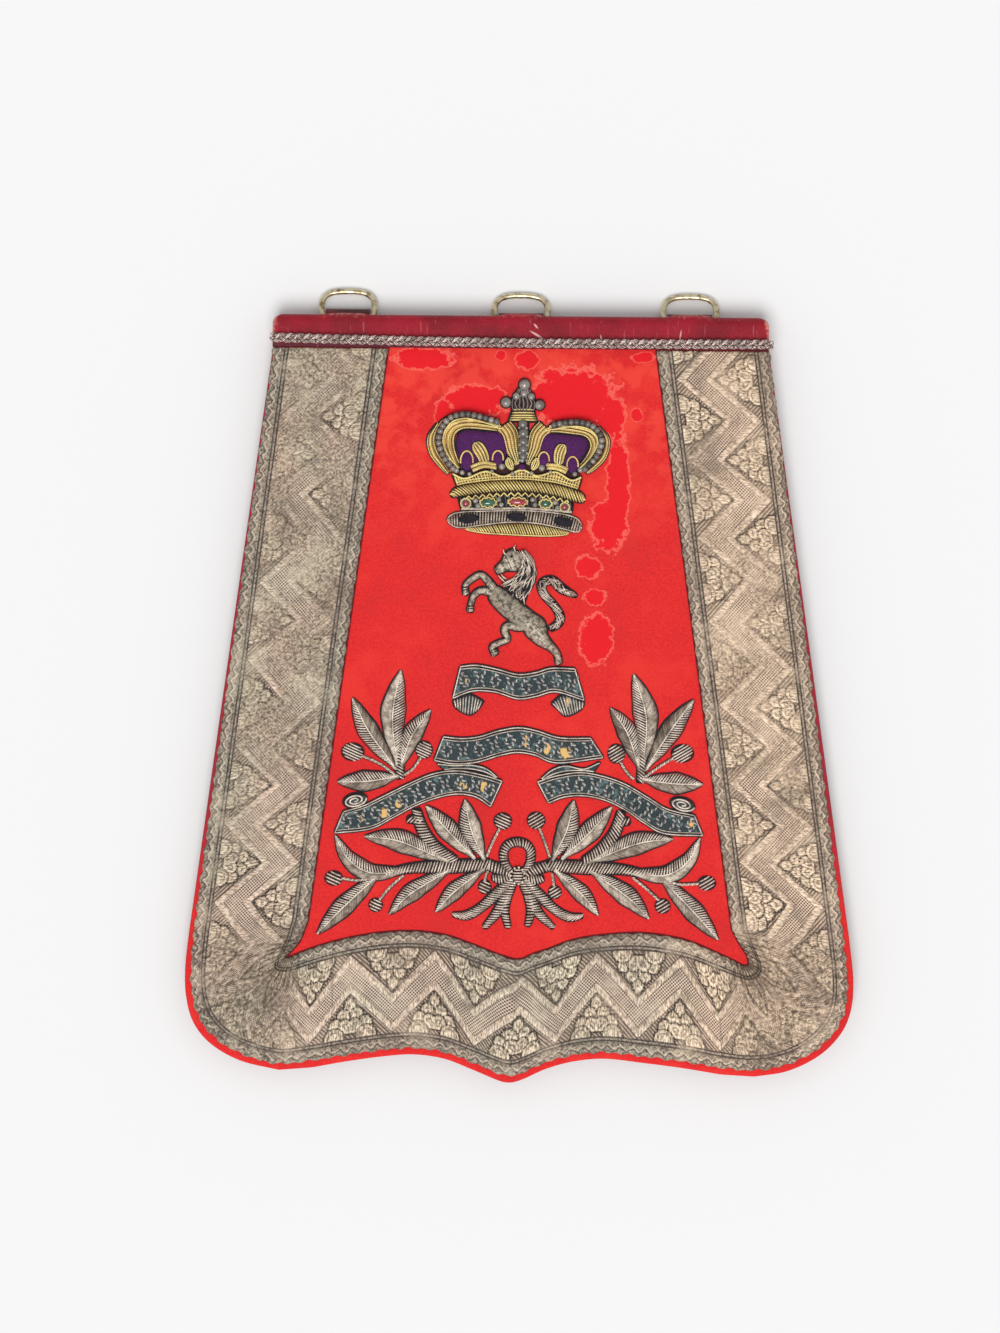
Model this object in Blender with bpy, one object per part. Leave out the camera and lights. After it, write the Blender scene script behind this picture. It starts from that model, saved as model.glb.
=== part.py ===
# Officer's sabretache, lying on its back with its three sling rings away from the viewer.
# X runs across the face, Y from the point at the bottom up to the rings, Z out of the face.
# Drawings below are in millimetres as (x, down): down is measured from the band's top edge.

import math

import bpy
from mathutils import Matrix, Vector

MM = 0.001
CENTRE_X = 1.85      # the middle of the whole width: the face leans a little to the right
CENTRE_DOWN = 163.7  # the middle of the whole length, measured down from the band's top edge
GAP = 0.3            # air left between pieces that touch in the real thing

# levels of the layers, from the table up
POCKET_FLOOR = 1.6
POCKET_RIM = 8.0
BACKING_BASE = POCKET_RIM + GAP
BACKING_TOP = 9.9
FACE_BASE = BACKING_TOP + GAP
FACE_TOP = 13.4
TRIM_BASE = FACE_TOP + GAP

# the cloth face: straight sides, rounded corners, a point between two shallow coves
FACE_TOP_LEFT = (-108.5, 1.8)
FACE_TOP_RIGHT = (108.9, 1.8)
LEFT_CORNER = [(-145.3, 275), (-146.8, 290), (-146.4, 303), (-143, 315), (-135, 324.6), (-122, 331.8),
               (-105, 335.8)]
BOTTOM_EDGE = [(-90, 334.6), (-76, 332), (-60, 329.6), (-45, 328.4), (-31, 330.3), (-18, 335.2),
               (-7, 339.7), (-1.5, 340.6), (4.5, 338.8), (14, 334.4), (26, 331), (40, 329.6), (57, 331.3),
               (75, 333.5), (92, 336.2)]
RIGHT_CORNER = [(107, 337), (122, 334.3), (136, 327.2), (145.5, 317.3), (149.8, 306.5), (150.6, 293),
                (148.6, 275)]

# the lace: its two edges, point for point, gathered into the inner corners
LACE_WIDE = [(-109.9, 14.4), (-142.5, 270), (-143.9, 285), (-143.8, 300), (-140.4, 312.6), (-133, 321.8),
             (-121.4, 328.6), (-106, 332.8), (-92, 331.6), (-76, 329), (-60, 326.6), (-45, 325.4),
             (-31, 327.2), (-18, 331.9), (-7, 336.4), (-1.5, 337.4), (5, 335.4), (14, 331.3), (26, 328),
             (40, 326.6), (57, 328.3), (75, 330.4), (92, 333), (107, 334), (121, 331.4), (134, 324.9),
             (143, 315.7), (147.1, 306), (147.8, 293), (146, 275), (110.7, 14.4)]
LACE_NARROW = [(-59, 14.4), (-92.4, 269), (-95.6, 277.5), (-99, 282), (-101.4, 284.6), (-102.2, 285.6),
               (-101, 285.8), (-98, 284.6), (-90, 281.4), (-76, 277.3), (-60, 274.4), (-45, 273.6),
               (-31, 275.3), (-18, 279.6), (-7, 283.8), (1.5, 285.8), (8, 283.3), (15, 280.9), (26, 276.8),
               (40, 274.4), (57, 273.6), (75, 276.4), (89, 281.8), (98, 285.9), (101.4, 287.6),
               (103.4, 287.4), (103.9, 286), (103, 282.6), (99.6, 277.4), (96.4, 271.4), (60.6, 14.4)]
LACE_THICK = 1.2

# the leather band over the top edge, as a section: (down, level)
BAND_SECTION = [(14, 15.1), (3.5, 15.1), (1.6, 14.6), (0.4, 13.2), (0, 11.4), (0, 10.2), (0.4, 8.4),
                (1.6, 7.1), (3.5, 6.6), (12, 6.6), (12, 8), (2.6, 8), (1.5, 9), (1.5, 12.7), (2.6, 13.7),
                (14, 13.7)]
BAND_LEFT = -110.2
BAND_RIGHT = 110.4
CORD_LEFT = (-110.9, 10.2)
CORD_RIGHT = (111.9, 11.4)
CORD_SAG = 0.9
CORD_RADIUS = 2.2
CORD_LOBE = 5.0
CORD_LEVEL = BAND_SECTION[0][1] + GAP + CORD_RADIUS

# the sling rings: name, x of the centre, down of the bar's axis
RINGS = [("left", -77.2, -1.0), ("centre", 0.2, 0.2), ("right", 75.7, 0.2)]
RING_HALF = [(11.6, 0), (12.0, 3.6), (11.3, 7.2), (8.6, 9.9), (4.4, 11), (0, 11.2)]
RING_WIRE = 1.3
RING_LEVEL = 3.6
RING_DROOP = math.asin((RING_LEVEL - RING_WIRE) / RING_HALF[-1][1])
STRAP_HALF = 10.0
STRAP_THICK = 1.3
STRAP_TAIL = 20.0

# the slip pocket on the back: half of its outline, mouth first
POCKET_HALF = [(92, 45), (109, 262), (107.5, 275), (98, 284), (84, 287)]

# crown: closed outlines, or pairs of edges joined across
CROSS_OUTLINE = [(-5, 46.2), (-3.4, 41.9), (-8, 40.3), (-8.4, 36.4), (-4.6, 35.4), (-2.6, 32.2), (-0.8, 28.4),
                 (2, 27.6), (4.6, 28.6), (6.2, 32.2), (8.2, 36), (11, 37.6), (10.4, 41.2), (6.4, 42),
                 (7.6, 46.2)]
LEFT_CAP = [(-27.4, 52.2), (-24, 50.4), (-15, 50.9), (-7.8, 51.6), (-6, 55), (-5.6, 61.5), (-7.6, 66.6),
            (-15, 66.8), (-22, 69.4), (-24.6, 66.6), (-27.6, 61.6), (-28.2, 56)]
RIGHT_CAP = [(10.2, 52.4), (14, 51.5), (22, 52.2), (28.6, 53.2), (30.6, 56.4), (28.6, 61.6), (25.4, 66),
             (22.8, 69.6), (17, 67), (9.6, 67), (9, 58)]
LEFT_ARCH = ([(-7.2, 50.9), (-15, 50), (-24.2, 49.5), (-28.6, 52), (-29.2, 57), (-27.8, 62.4),
              (-25.6, 66.9)],
             [(-9.6, 46.6), (-15, 44.6), (-25, 42), (-35, 45.6), (-40.4, 54), (-39.2, 60.6), (-32.2, 69.4)])
RIGHT_ARCH = ([(10.6, 51.7), (15, 50.8), (22.4, 51.4), (29.2, 52.6), (31.6, 56.6), (29.8, 61.6),
               (26.4, 66)],
              [(14, 47.4), (18, 46.2), (26, 45.6), (34.6, 48), (39.9, 54.4), (38, 62), (30.4, 68.6)])
MIDDLE_ARCH = ([(-8.4, 47.6), (-6.2, 50.6), (-5.2, 58), (-3, 62.6), (-2, 66.2)],
               [(13, 48), (9.8, 50.8), (8.6, 58), (6.4, 62.6), (5.4, 66.2)])
CROWN_RIM = ([(-29.6, 70), (-24, 72), (-15, 68.8), (-7, 71), (1, 68), (8, 70.6), (16, 68.8), (23, 72.4),
              (27.6, 71)],
             [(-27.6, 75.2), (-23, 74.2), (-15, 73.1), (-7, 72.5), (1, 72.3), (8, 72.7), (16, 73.7),
              (22, 75.2), (26, 76.4)])
CROWN_ROLL = ([(-30.6, 77.8), (-25, 75.4), (-12, 73.2), (2, 72.8), (14, 73.9), (25, 76.9), (29.2, 79.4)],
              [(-30.6, 80.4), (-25, 79.4), (-12, 77.9), (2, 77.4), (14, 78.6), (23, 81), (28.8, 82.6)])
JEWEL_BAND = ([(-27, 80.6), (-12, 78.7), (2, 78.1), (12, 79.2), (24, 82.4)],
              [(-25.6, 86), (-12, 85.8), (2, 85.5), (12, 86), (23.4, 87)])
ERMINE = ([(-31, 89.2), (-26, 87.5), (-15, 86.8), (0, 86.3), (13, 86.9), (23, 88.6), (27.8, 91.8)],
          [(-30.6, 91.8), (-26, 93.6), (-17, 92.5), (-5, 91.1), (6, 91.3), (16, 92.9), (27.4, 95.6)])
CROWN_FOOT = ([(-24, 93.9), (-15, 92.8), (-4, 91.6), (6, 91.8), (15, 93.3), (22, 94.9)],
              [(-23.4, 94.7), (-15, 95.9), (-4, 96.5), (6, 96.9), (15, 96.9), (22.4, 96.2)])
JEWELS = [("jewel_green_left", (-13.8, 82.6), (3.9, 2.3), "green_glass"),
          ("jewel_red", (-0.6, 82.2), (4.6, 2.1), "red_glass"),
          ("jewel_green_right", (11.8, 82.9), (3.1, 2.1), "green_glass")]

# horse: edges of the head and neck, then spines with a width at each point
HORSE_HEAD = ([(-10.6, 111.6), (-7.4, 108.2), (-6.2, 105.2), (-2.6, 103), (-0.4, 104.4)],
              [(-9.4, 114.6), (-5.6, 113), (-3.4, 112.8), (-0.6, 112.8), (1.2, 110.6)])
HORSE_MANE = ([(0.4, 104.2), (2, 107.4), (2.2, 110.8), (0.2, 114), (-3.4, 116.6), (-7.4, 118.8)],
              [(3.4, 103.6), (7, 108), (8.4, 113.4), (7.6, 118.2), (4.8, 123.4), (3.3, 127.6)])
HORSE_BODY = ([(-11.4, 121.4), (-13.2, 125.2), (-9, 130.6), (-3, 135.8), (2, 138.8), (5, 141.6)],
              [(-8.8, 119.8), (-3.5, 122.9), (3, 128.2), (6.8, 131.4), (11.6, 134.8), (13.2, 140)])
HORSE_LEGS = [([(-9.2, 123), (-11.8, 119.6), (-14.2, 116.6), (-17, 114.7), (-21, 116.9), (-23.6, 119.8),
                (-23.2, 123.6)], [3.2, 3.4, 2.8, 2.5, 2.3, 2.2, 2.6]),
              ([(-8.6, 125.6), (-12, 122.8), (-16.4, 121.7), (-19.6, 123.8), (-21, 127.6), (-21.4, 131.2)],
               [3.6, 3.2, 2.6, 2.4, 2.2, 2.8]),
              ([(5, 136.8), (0, 138), (-4.6, 137.2), (-6, 139.6), (-4.6, 143.2), (-8.2, 144.9), (-11.4, 146.8),
                (-9.8, 150.2)], [3.6, 3, 2.8, 3, 2.4, 2.2, 2.4, 3.2]),
              ([(7.4, 137.6), (9.8, 142.6), (13.6, 145.6), (17, 149), (18.4, 154)],
               [8.4, 6, 3.6, 2.8, 2.8])]
HORSE_TAIL = ([(14.2, 138.6), (17.8, 136.2), (18.6, 132.6), (15.8, 128), (11.6, 123.4), (10.2, 119.4),
               (12.4, 117.2), (15.6, 117.2), (19.4, 120.6), (25.8, 123.8)],
              [2.2, 3.2, 3.4, 3, 3.2, 3.4, 3.4, 3.4, 3.8, 1.4])

# scrolls and their turned ends: upper edge, lower edge
SCROLLS = {
    "scroll_upper": ([(-25.3, 155.6), (-18, 155), (-9, 156.7), (0, 158.9), (8, 158), (15, 156),
                      (25.4, 156.2)],
                     [(-28.6, 169.6), (-20, 166.4), (-10, 166.7), (0, 169.6), (8, 168.6), (17, 166.4),
                      (29.6, 170)]),
    "scroll_upper_curl_left": ([(-28.6, 170.6), (-23, 168.6), (-20, 168.3), (-15, 171)],
                               [(-28, 173.4), (-24.6, 175.8), (-20.6, 176.9), (-17.4, 174.6)]),
    "scroll_upper_curl_right": ([(15.2, 171.8), (19.4, 168.2), (23.4, 168.6), (29.8, 171)],
                                [(18.6, 174.6), (21, 177), (25, 176.2), (29, 173.6)]),
    "scroll_middle": ([(-32.6, 186.9), (-25, 187.6), (-17, 186.8), (-8, 184), (1, 182.6), (9, 184),
                       (19, 186.9), (32.6, 187)],
                      [(-36.6, 197.4), (-28, 198.8), (-18, 198), (-8, 195), (0, 193.5), (8, 194.6),
                       (18, 198), (38.2, 195.5)]),
    "scroll_left_fold": ([(-35.6, 198.8), (-28, 199.5), (-21, 199.2), (-14, 200.6), (-8.6, 204.6)],
                         [(-31.6, 201.7), (-27, 201), (-20, 201.2), (-13.6, 202.7), (-9, 205)]),
    "scroll_right_fold": ([(11, 205), (16, 200.9), (22, 199.2), (30, 200.6), (37.2, 197.4)],
                          [(11.5, 205.4), (17, 203), (23, 201.6), (29, 201.4), (34, 202.2)]),
    "scroll_left": ([(-6.6, 206.4), (-14, 204.1), (-26, 202), (-37, 203.4), (-48, 208), (-60, 214),
                     (-68, 217.9), (-76.8, 220.6)],
                    [(-11.6, 217.6), (-18, 213.5), (-26, 212.2), (-35, 213.8), (-45, 217.6), (-55, 223),
                     (-65, 228), (-80.6, 230)]),
    "scroll_right": ([(9.4, 206.6), (17, 204), (28, 202.3), (38, 203.8), (48, 207.2), (58, 212.9),
                      (67, 218.2), (79.2, 221)],
                     [(14.4, 215.8), (21, 213.2), (30, 212.5), (40, 214.6), (49, 219), (57, 224.4),
                      (66, 229), (82.8, 229.8)]),
}
CURLS = [("scroll_left_curl", (-71.8, 215.5), (5.2, 2.8), -14),
         ("scroll_right_curl", (73.8, 216.1), (5.4, 2.8), 14)]

# laurel: each leaf from its tip to its base, with its greatest width; then the stems
SPRAYS = {
    "laurel_upper_left": ([([(-52, 157.5), (-55.4, 178), (-53.2, 200)], 10.4),
                           ([(-73.2, 170), (-66, 184.5), (-53.4, 201.5)], 8.8),
                           ([(-38.6, 175.2), (-47, 187), (-51.6, 201.5)], 8.2),
                           ([(-79.6, 207.4), (-66, 206.8), (-52.2, 204.6)], 8.6)],
                          [([(-52.6, 194), (-51.6, 205.6)], [6, 3])]),
    "laurel_upper_right": ([([(51.8, 158.4), (57.4, 178), (56, 200)], 10.4),
                            ([(41.4, 173.6), (49, 184.5), (54.6, 201)], 8.4),
                            ([(78.2, 169.6), (68.4, 183), (57, 201)], 8.8),
                            ([(82.6, 207.2), (70, 206.8), (55.4, 205.2)], 9)],
                           [([(56, 194), (55, 206.4)], [6, 3])]),
    "laurel_lower_left": ([([(-80.6, 231.2), (-74.6, 241.4), (-64, 247.6), (-46, 246)], 7.8),
                           ([(-67.4, 231.6), (-52, 233.4), (-30, 242.4)], 9.4),
                           ([(-44.6, 219.4), (-41.6, 228.5), (-27, 242.2)], 4.4),
                           ([(-40.2, 217.8), (-31.2, 227.6), (-18.4, 241)], 8.6),
                           ([(-22.8, 214.8), (-20, 228), (-14, 241.4)], 9),
                           ([(-88, 275), (-76.6, 263), (-60, 247.6)], 8.2),
                           ([(-56, 266), (-46.6, 256.6), (-29, 246)], 7.6),
                           ([(-35.4, 264.8), (-27.2, 255.6), (-14, 245.6)], 7)],
                          [([(-48.4, 223.6), (-41.8, 224.4)], [3.6, 4]),
                           ([(-11.4, 243.6), (-30, 244.6), (-46, 245.4), (-58, 248)], [4.6, 6, 4, 3])]),
    "laurel_lower_right": ([([(81.8, 231.2), (76.4, 241.4), (66, 247.6), (48, 246)], 7.8),
                            ([(69.6, 231.6), (54, 233.6), (32, 242.4)], 9.4),
                            ([(46.8, 219.6), (43.8, 229), (30, 242.2)], 4.4),
                            ([(42.4, 217.6), (33.4, 228), (20.4, 241)], 8.6),
                            ([(25.4, 214.8), (22.4, 228), (16, 241.4)], 9),
                            ([(90, 276), (79.4, 264), (63.6, 248)], 8.4),
                            ([(59.2, 267), (50, 257.6), (33, 246)], 8.4),
                            ([(36.6, 265.6), (29.4, 256.4), (17, 245.6)], 7)],
                           [([(50.4, 223.6), (44, 225)], [3.6, 4]),
                            ([(13.6, 243.6), (32, 244.6), (48, 245.4), (60, 248)], [4.6, 6, 4, 3])]),
}
LEAF_TIP = 0.7
LEAF_FOOT = 2.4
LEAF_HEIGHT = 2.2
BERRIES = [(-73, 194, 4.9, 3.7), (-41.3, 192.8, 3.6, 3.7), (44.2, 193.8, 3.6, 4.1), (73.6, 193.4, 4.9, 3.7),
           (-6, 224.2, 3.8, 3.4), (8.8, 223.8, 3.8, 3.5), (-81, 250.2, 3.8, 3), (85, 251, 3.8, 2.9),
           (-62.2, 262, 2.9, 2.8), (65.4, 261.4, 3.2, 3), (-13.8, 253.5, 2.6, 2.9), (17.4, 255.6, 2.7, 2.8)]

# bow: spines with a width at each point, and the knot that covers their meeting
BOW_STRANDS = [([(-1.6, 247), (-5, 242.6), (-5.4, 237.8), (-3.4, 234.6), (0.6, 233.4), (4.6, 234.6),
                 (6.6, 237.8), (6.2, 242.6), (3.2, 247)], [2, 3.4, 3.6, 3.6, 3.6, 3.6, 3.6, 3.4, 2]),
               ([(-2.4, 248), (-7, 245.6), (-10.8, 243.6)], [2.4, 3, 2]),
               ([(-2, 249.4), (-6.6, 249.6), (-10.6, 249.4)], [2.4, 3.2, 1.6]),
               ([(4.4, 248), (9, 245.6), (13, 243.6)], [2.4, 3, 2]),
               ([(4, 249.4), (8.6, 250), (12.2, 249.6)], [2.4, 3.2, 1.6]),
               ([(-2, 250), (-8, 256), (-15, 262.4), (-21.6, 266.2), (-28, 266)], [2.6, 4.4, 3.8, 3.8, 1.6]),
               ([(4.4, 250), (11.4, 257.6), (17.6, 263.4), (24, 266.6), (30, 266)], [2.6, 4.4, 3.8, 3.8, 1.6]),
               ([(-0.6, 251), (-4, 257), (-8.4, 265), (-14, 271.8)], [2.6, 4.6, 4, 2]),
               ([(-3.8, 257.4), (-4.8, 264), (-3.2, 271.6)], [4, 3.6, 2.4]),
               ([(2.6, 251), (6, 257), (10.4, 265), (17, 271.4)], [2.6, 4.6, 4, 2]),
               ([(5.8, 257.4), (6.8, 264), (5.4, 270.8)], [4, 3.6, 2.4])]
BOW_KNOT = ((0.8, 248.3), (2.4, 3))

# sections of padded work: place across the strip, share of the full height
ROLL = [(0.02, 0.3), (0.2, 0.86), (0.5, 1), (0.8, 0.86), (0.98, 0.3)]
LEAF = [(0.02, 0.25), (0.22, 0.95), (0.5, 0.55), (0.78, 0.95), (0.98, 0.25)]
FLAT = [(0.0, 0.7), (0.06, 1), (0.94, 1), (1.0, 0.7)]

LOOKS = {
    "scarlet_cloth": ((0.78, 0.05, 0.05), 0.9, 0.0),
    "silver_lace": ((0.52, 0.47, 0.40), 0.55, 0.6),
    "crimson_leather": ((0.36, 0.02, 0.05), 0.45, 0.0),
    "silver_wire": ((0.60, 0.56, 0.50), 0.4, 0.8),
    "gold_wire": ((0.65, 0.48, 0.22), 0.4, 0.8),
    "purple_velvet": ((0.09, 0.02, 0.13), 0.9, 0.0),
    "teal_silk": ((0.07, 0.15, 0.17), 0.6, 0.0),
    "nickel": ((0.72, 0.68, 0.58), 0.25, 1.0),
    "red_glass": ((0.35, 0.02, 0.03), 0.15, 0.0),
    "green_glass": ((0.03, 0.18, 0.10), 0.15, 0.0),
}


def clear_scene():
    for thing in list(bpy.data.objects):
        bpy.data.objects.remove(thing, do_unlink=True)


def new_collection(name):
    collection = bpy.data.collections.new(name)
    bpy.context.scene.collection.children.link(collection)
    return collection


def make_look(name):
    colour, roughness, metallic = LOOKS[name]
    look = bpy.data.materials.new(name)
    look.use_nodes = True
    shader = look.node_tree.nodes["Principled BSDF"]
    shader.inputs["Base Color"].default_value = (*colour, 1)
    shader.inputs["Roughness"].default_value = roughness
    shader.inputs["Metallic"].default_value = metallic
    look.diffuse_color = (*colour, 1)
    return look


# Millimetres on the drawing to metres in the part.
def place(x, down, level):
    return Vector((x - CENTRE_X, CENTRE_DOWN - down, level)) * MM


# A smooth line through the points: each span is a cubic whose slopes come from its neighbours.
def smooth(points, steps):
    points = [Vector(p) for p in points]
    ends = [2 * points[0] - points[1], *points, 2 * points[-1] - points[-2]]
    line = []
    for before, a, b, after in zip(ends, ends[1:], ends[2:], ends[3:]):
        for step in range(steps):
            t = step / steps
            line.append(0.5 * (2 * a + (b - before) * t + (2 * before - 5 * a + 4 * b - after) * t ** 2
                               + (3 * a - before - 3 * b + after) * t ** 3))
    return line + [points[-1]]


# The two edges of a strip that follows a spine, as wide at each point as the list says.
def spine_edges(spine, widths, steps):
    line = smooth([(x, down, width) for (x, down), width in zip(spine, widths)], steps)
    left, right = [], []
    for i, point in enumerate(line):
        ahead = line[min(i + 1, len(line) - 1)] - line[max(i - 1, 0)]
        side = Vector((-ahead.y, ahead.x)).normalized() * point.z / 2
        left.append(point.xy + side)
        right.append(point.xy - side)
    return left, right


# A closed loop moved inward by an amount, along the bisector at each of its points.
def inset(loop, amount):
    area = sum(a.x * b.y - b.x * a.y for a, b in zip(loop, loop[1:] + loop[:1]))
    turn = math.copysign(1, area)
    moved = []
    for before, point, after in zip(loop[-1:] + loop[:-1], loop, loop[1:] + loop[:1]):
        into = (point - before).normalized()
        out = (after - point).normalized()
        normal = Vector((-into.y - out.y, into.x + out.x)) * turn
        normal.normalize()
        square = max(normal.dot(Vector((-into.y, into.x)) * turn), 0.5)
        moved.append(point + normal * amount / square)
    return moved


# One closed body from rings of points: quads from ring to ring, a cap on the first and the last.
def skin(name, rings, look, collection, closed=False):
    count = len(rings[0])
    faces = []
    spans = len(rings) if closed else len(rings) - 1
    for r in range(spans):
        low = r * count
        high = (r + 1) % len(rings) * count
        for i in range(count):
            j = (i + 1) % count
            faces.append((low + i, low + j, high + j, high + i))
    if not closed:
        faces.append(tuple(reversed(range(count))))
        faces.append(tuple(range(spans * count, spans * count + count)))
    mesh = bpy.data.meshes.new(name)
    mesh.from_pydata([tuple(p) for ring in rings for p in ring], [], faces)
    mesh.materials.append(looks[look])
    thing = bpy.data.objects.new(name, mesh)
    collection.objects.link(thing)
    face_outward(mesh)
    return thing


# Turns the faces outward where the mesh encloses a negative volume.
def face_outward(mesh):
    mesh.calc_loop_triangles()
    spots = [v.co for v in mesh.vertices]
    volume = sum(spots[a].dot(spots[b].cross(spots[c])) for a, b, c in
                 (t.vertices for t in mesh.loop_triangles))
    if volume < 0:
        mesh.flip_normals()
    mesh.update()


# A flat piece cut to a closed outline, its rims eased by the given amount.
def slab(name, outline, base, top, ease, look, collection):
    levels = [(ease, base), (0, base + ease), (0, top - ease), (ease, top)]
    rings = [[place(*p, level) for p in inset(outline, amount)] for amount, level in levels]
    return skin(name, rings, look, collection)


# A piece padded to a soft cushion inside its outline.
def cushion(name, outline, base, height, look, collection):
    levels = [(0, base), (0, base + height * 0.35), (0.7, base + height * 0.8), (1.7, base + height)]
    rings = [[place(*p, level) for p in inset(outline, amount)] for amount, level in levels]
    return skin(name, rings, look, collection)


# A padded strip between two edges: flat underneath, its upper side drawn by the section.
def strip(name, edges, section, base, heights, look, collection):
    rings = []
    for a, b, height in zip(*edges, heights):
        ring = [place(*a, base)]
        ring += [place(*a.lerp(b, across), base + share * height) for across, share in section]
        ring.append(place(*b, base))
        rings.append(ring)
    return skin(name, rings, look, collection)


# A strip of one height between two drawn edges.
def level_strip(name, edges, section, base, height, steps, look, collection):
    edges = [smooth(edge, steps) for edge in edges]
    return strip(name, edges, section, base, [height] * len(edges[0]), look, collection)


# A domed oval: a berry, a jewel, a knot.
def dome(name, centre, radii, turn, base, height, look, collection):
    sides = 9
    rotation = Matrix.Rotation(math.radians(turn), 2)
    rings = []
    for share, level in ((1, 0), (1, 0.4), (0.62, 1)):
        ring = []
        for i in range(sides):
            angle = math.tau * i / sides
            spot = rotation @ Vector((radii[0] * math.cos(angle), radii[1] * math.sin(angle))) * share
            ring.append(place(centre[0] + spot.x, centre[1] + spot.y, base + level * height))
        rings.append(ring)
    return skin(name, rings, look, collection)


# A round wire bent to a closed path that lies in the XY plane.
def wire_loop(name, path, radius, sides, look, collection):
    rings = []
    for before, point, after in zip(path[-1:] + path[:-1], path, path[1:] + path[:1]):
        ahead = (after - before).normalized()
        side = Vector((ahead.y, -ahead.x))
        ring = []
        for i in range(sides):
            angle = math.tau * i / sides
            spot = point + side * radius * math.cos(angle)
            ring.append(Vector((*spot, radius * math.sin(angle))) * MM)
        rings.append(ring)
    return skin(name, rings, look, collection, closed=True)


# A section in (down, level) carried straight across from one x to another.
def extrusion(name, section, left, right, look, collection):
    rings = [[place(x, down, level) for down, level in section] for x in (left, right)]
    return skin(name, rings, look, collection)


# Joins helper bodies onto a piece, or cuts them out of it.
def combine(thing, helpers, operation):
    for helper in helpers:
        helper.hide_render = True
        helper.display_type = "WIRE"
        step = thing.modifiers.new(helper.name, "BOOLEAN")
        step.operation = operation
        step.solver = "EXACT"
        step.object = helper


def face_outline():
    corners = [smooth(points, 2) for points in (LEFT_CORNER, BOTTOM_EDGE, RIGHT_CORNER)]
    return [Vector(FACE_TOP_LEFT), *corners[0], *corners[1], *corners[2], Vector(FACE_TOP_RIGHT)]


def build_board():
    outline = face_outline()
    slab("cloth_face", outline, FACE_BASE, FACE_TOP, 0.6, "scarlet_cloth", part)
    slab("leather_backing", inset(outline, 0.8), BACKING_BASE, BACKING_TOP, 0.3, "crimson_leather", part)


# The pocket is a shallow tray under the backing, open towards the rings.
def build_pocket():
    half = [Vector(p) for p in POCKET_HALF]
    outline = half + [Vector((-p.x, p.y)) for p in reversed(half)]
    pocket = slab("back_pocket", outline, 0, POCKET_RIM, 0.5, "crimson_leather", part)
    hollow = [Vector(p) for p in inset(outline, 1.8)]
    hollow[0].y -= 12
    hollow[-1].y -= 12
    cutter = slab("pocket_hollow", hollow, POCKET_FLOOR, POCKET_RIM + 4, 0.2, "crimson_leather", helpers)
    combine(pocket, [cutter], "DIFFERENCE")


# Lace sides are straight, so only the corners and the bottom are smoothed.
def lace_edge(points):
    return [Vector(points[0]), *smooth(points[1:-1], 2), Vector(points[-1])]


def build_lace():
    edges = (lace_edge(LACE_WIDE), lace_edge(LACE_NARROW))
    strip("lace_border", edges, FLAT, TRIM_BASE, [LACE_THICK] * len(edges[0]), "silver_lace", part)


def build_band():
    extrusion("top_band", BAND_SECTION, BAND_LEFT, BAND_RIGHT, "crimson_leather", part)


# The plaited cord bulges once for every lobe of the plait.
def build_cord():
    length = CORD_RIGHT[0] - CORD_LEFT[0]
    lobes = round(length / CORD_LOBE)
    rings = []
    for step in range(lobes * 2 + 1):
        t = step / (lobes * 2)
        radius = CORD_RADIUS * (1 if step % 2 else 0.86)
        down = CORD_LEFT[1] + (CORD_RIGHT[1] - CORD_LEFT[1]) * t + CORD_SAG * math.sin(math.pi * t)
        ring = []
        for i in range(6):
            angle = math.tau * (i + 0.5) / 6
            ring.append(place(CORD_LEFT[0] + length * t, down + radius * math.cos(angle),
                              CORD_LEVEL + radius * math.sin(angle)))
        rings.append(ring)
    skin("plaited_cord", rings, "silver_wire", part)


# A strap is folded round the bar of its ring and runs back behind the band as two plies.
def build_strap(name, x, down):
    inner = RING_WIRE + GAP
    outer = inner + STRAP_THICK
    slack = GAP / 2
    upper = RING_LEVEL + outer - STRAP_THICK - slack
    section = [(down + STRAP_TAIL, upper + STRAP_THICK), (down + outer, upper + STRAP_THICK)]
    section += [(down - outer * math.sin(a), RING_LEVEL + outer * math.cos(a))
                for a in (math.pi * i / 8 for i in range(1, 8))]
    section += [(down + outer, RING_LEVEL - outer + 0.6), (down + outer * 2, upper - GAP - STRAP_THICK),
                (down + STRAP_TAIL, upper - GAP - STRAP_THICK), (down + STRAP_TAIL, upper - GAP),
                (down + outer * 2, upper - GAP), (down + inner, RING_LEVEL - inner + 0.5)]
    section += [(down - inner * math.sin(a), RING_LEVEL + inner * math.cos(a))
                for a in (math.pi * i / 8 for i in range(7, 0, -1))]
    section += [(down + inner, upper), (down + STRAP_TAIL, upper)]
    extrusion("strap_" + name, section, x - STRAP_HALF, x + STRAP_HALF, "crimson_leather", part)


# A ring's origin lies on the axis of its bar, where it turns in the strap.
def build_ring(name, x, down):
    half = [Vector(RING_HALF[0]), *smooth(RING_HALF[1:], 2)]
    path = half + [Vector((-p.x, p.y)) for p in reversed(half[:-1])]
    ring = wire_loop("ring_" + name, path, RING_WIRE, 8, "nickel", part)
    ring.location = place(x, down, RING_LEVEL)
    ring.rotation_euler.x = -RING_DROOP


def build_slings():
    for name, x, down in RINGS:
        build_strap(name, x, down)
        build_ring(name, x, down)


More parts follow.
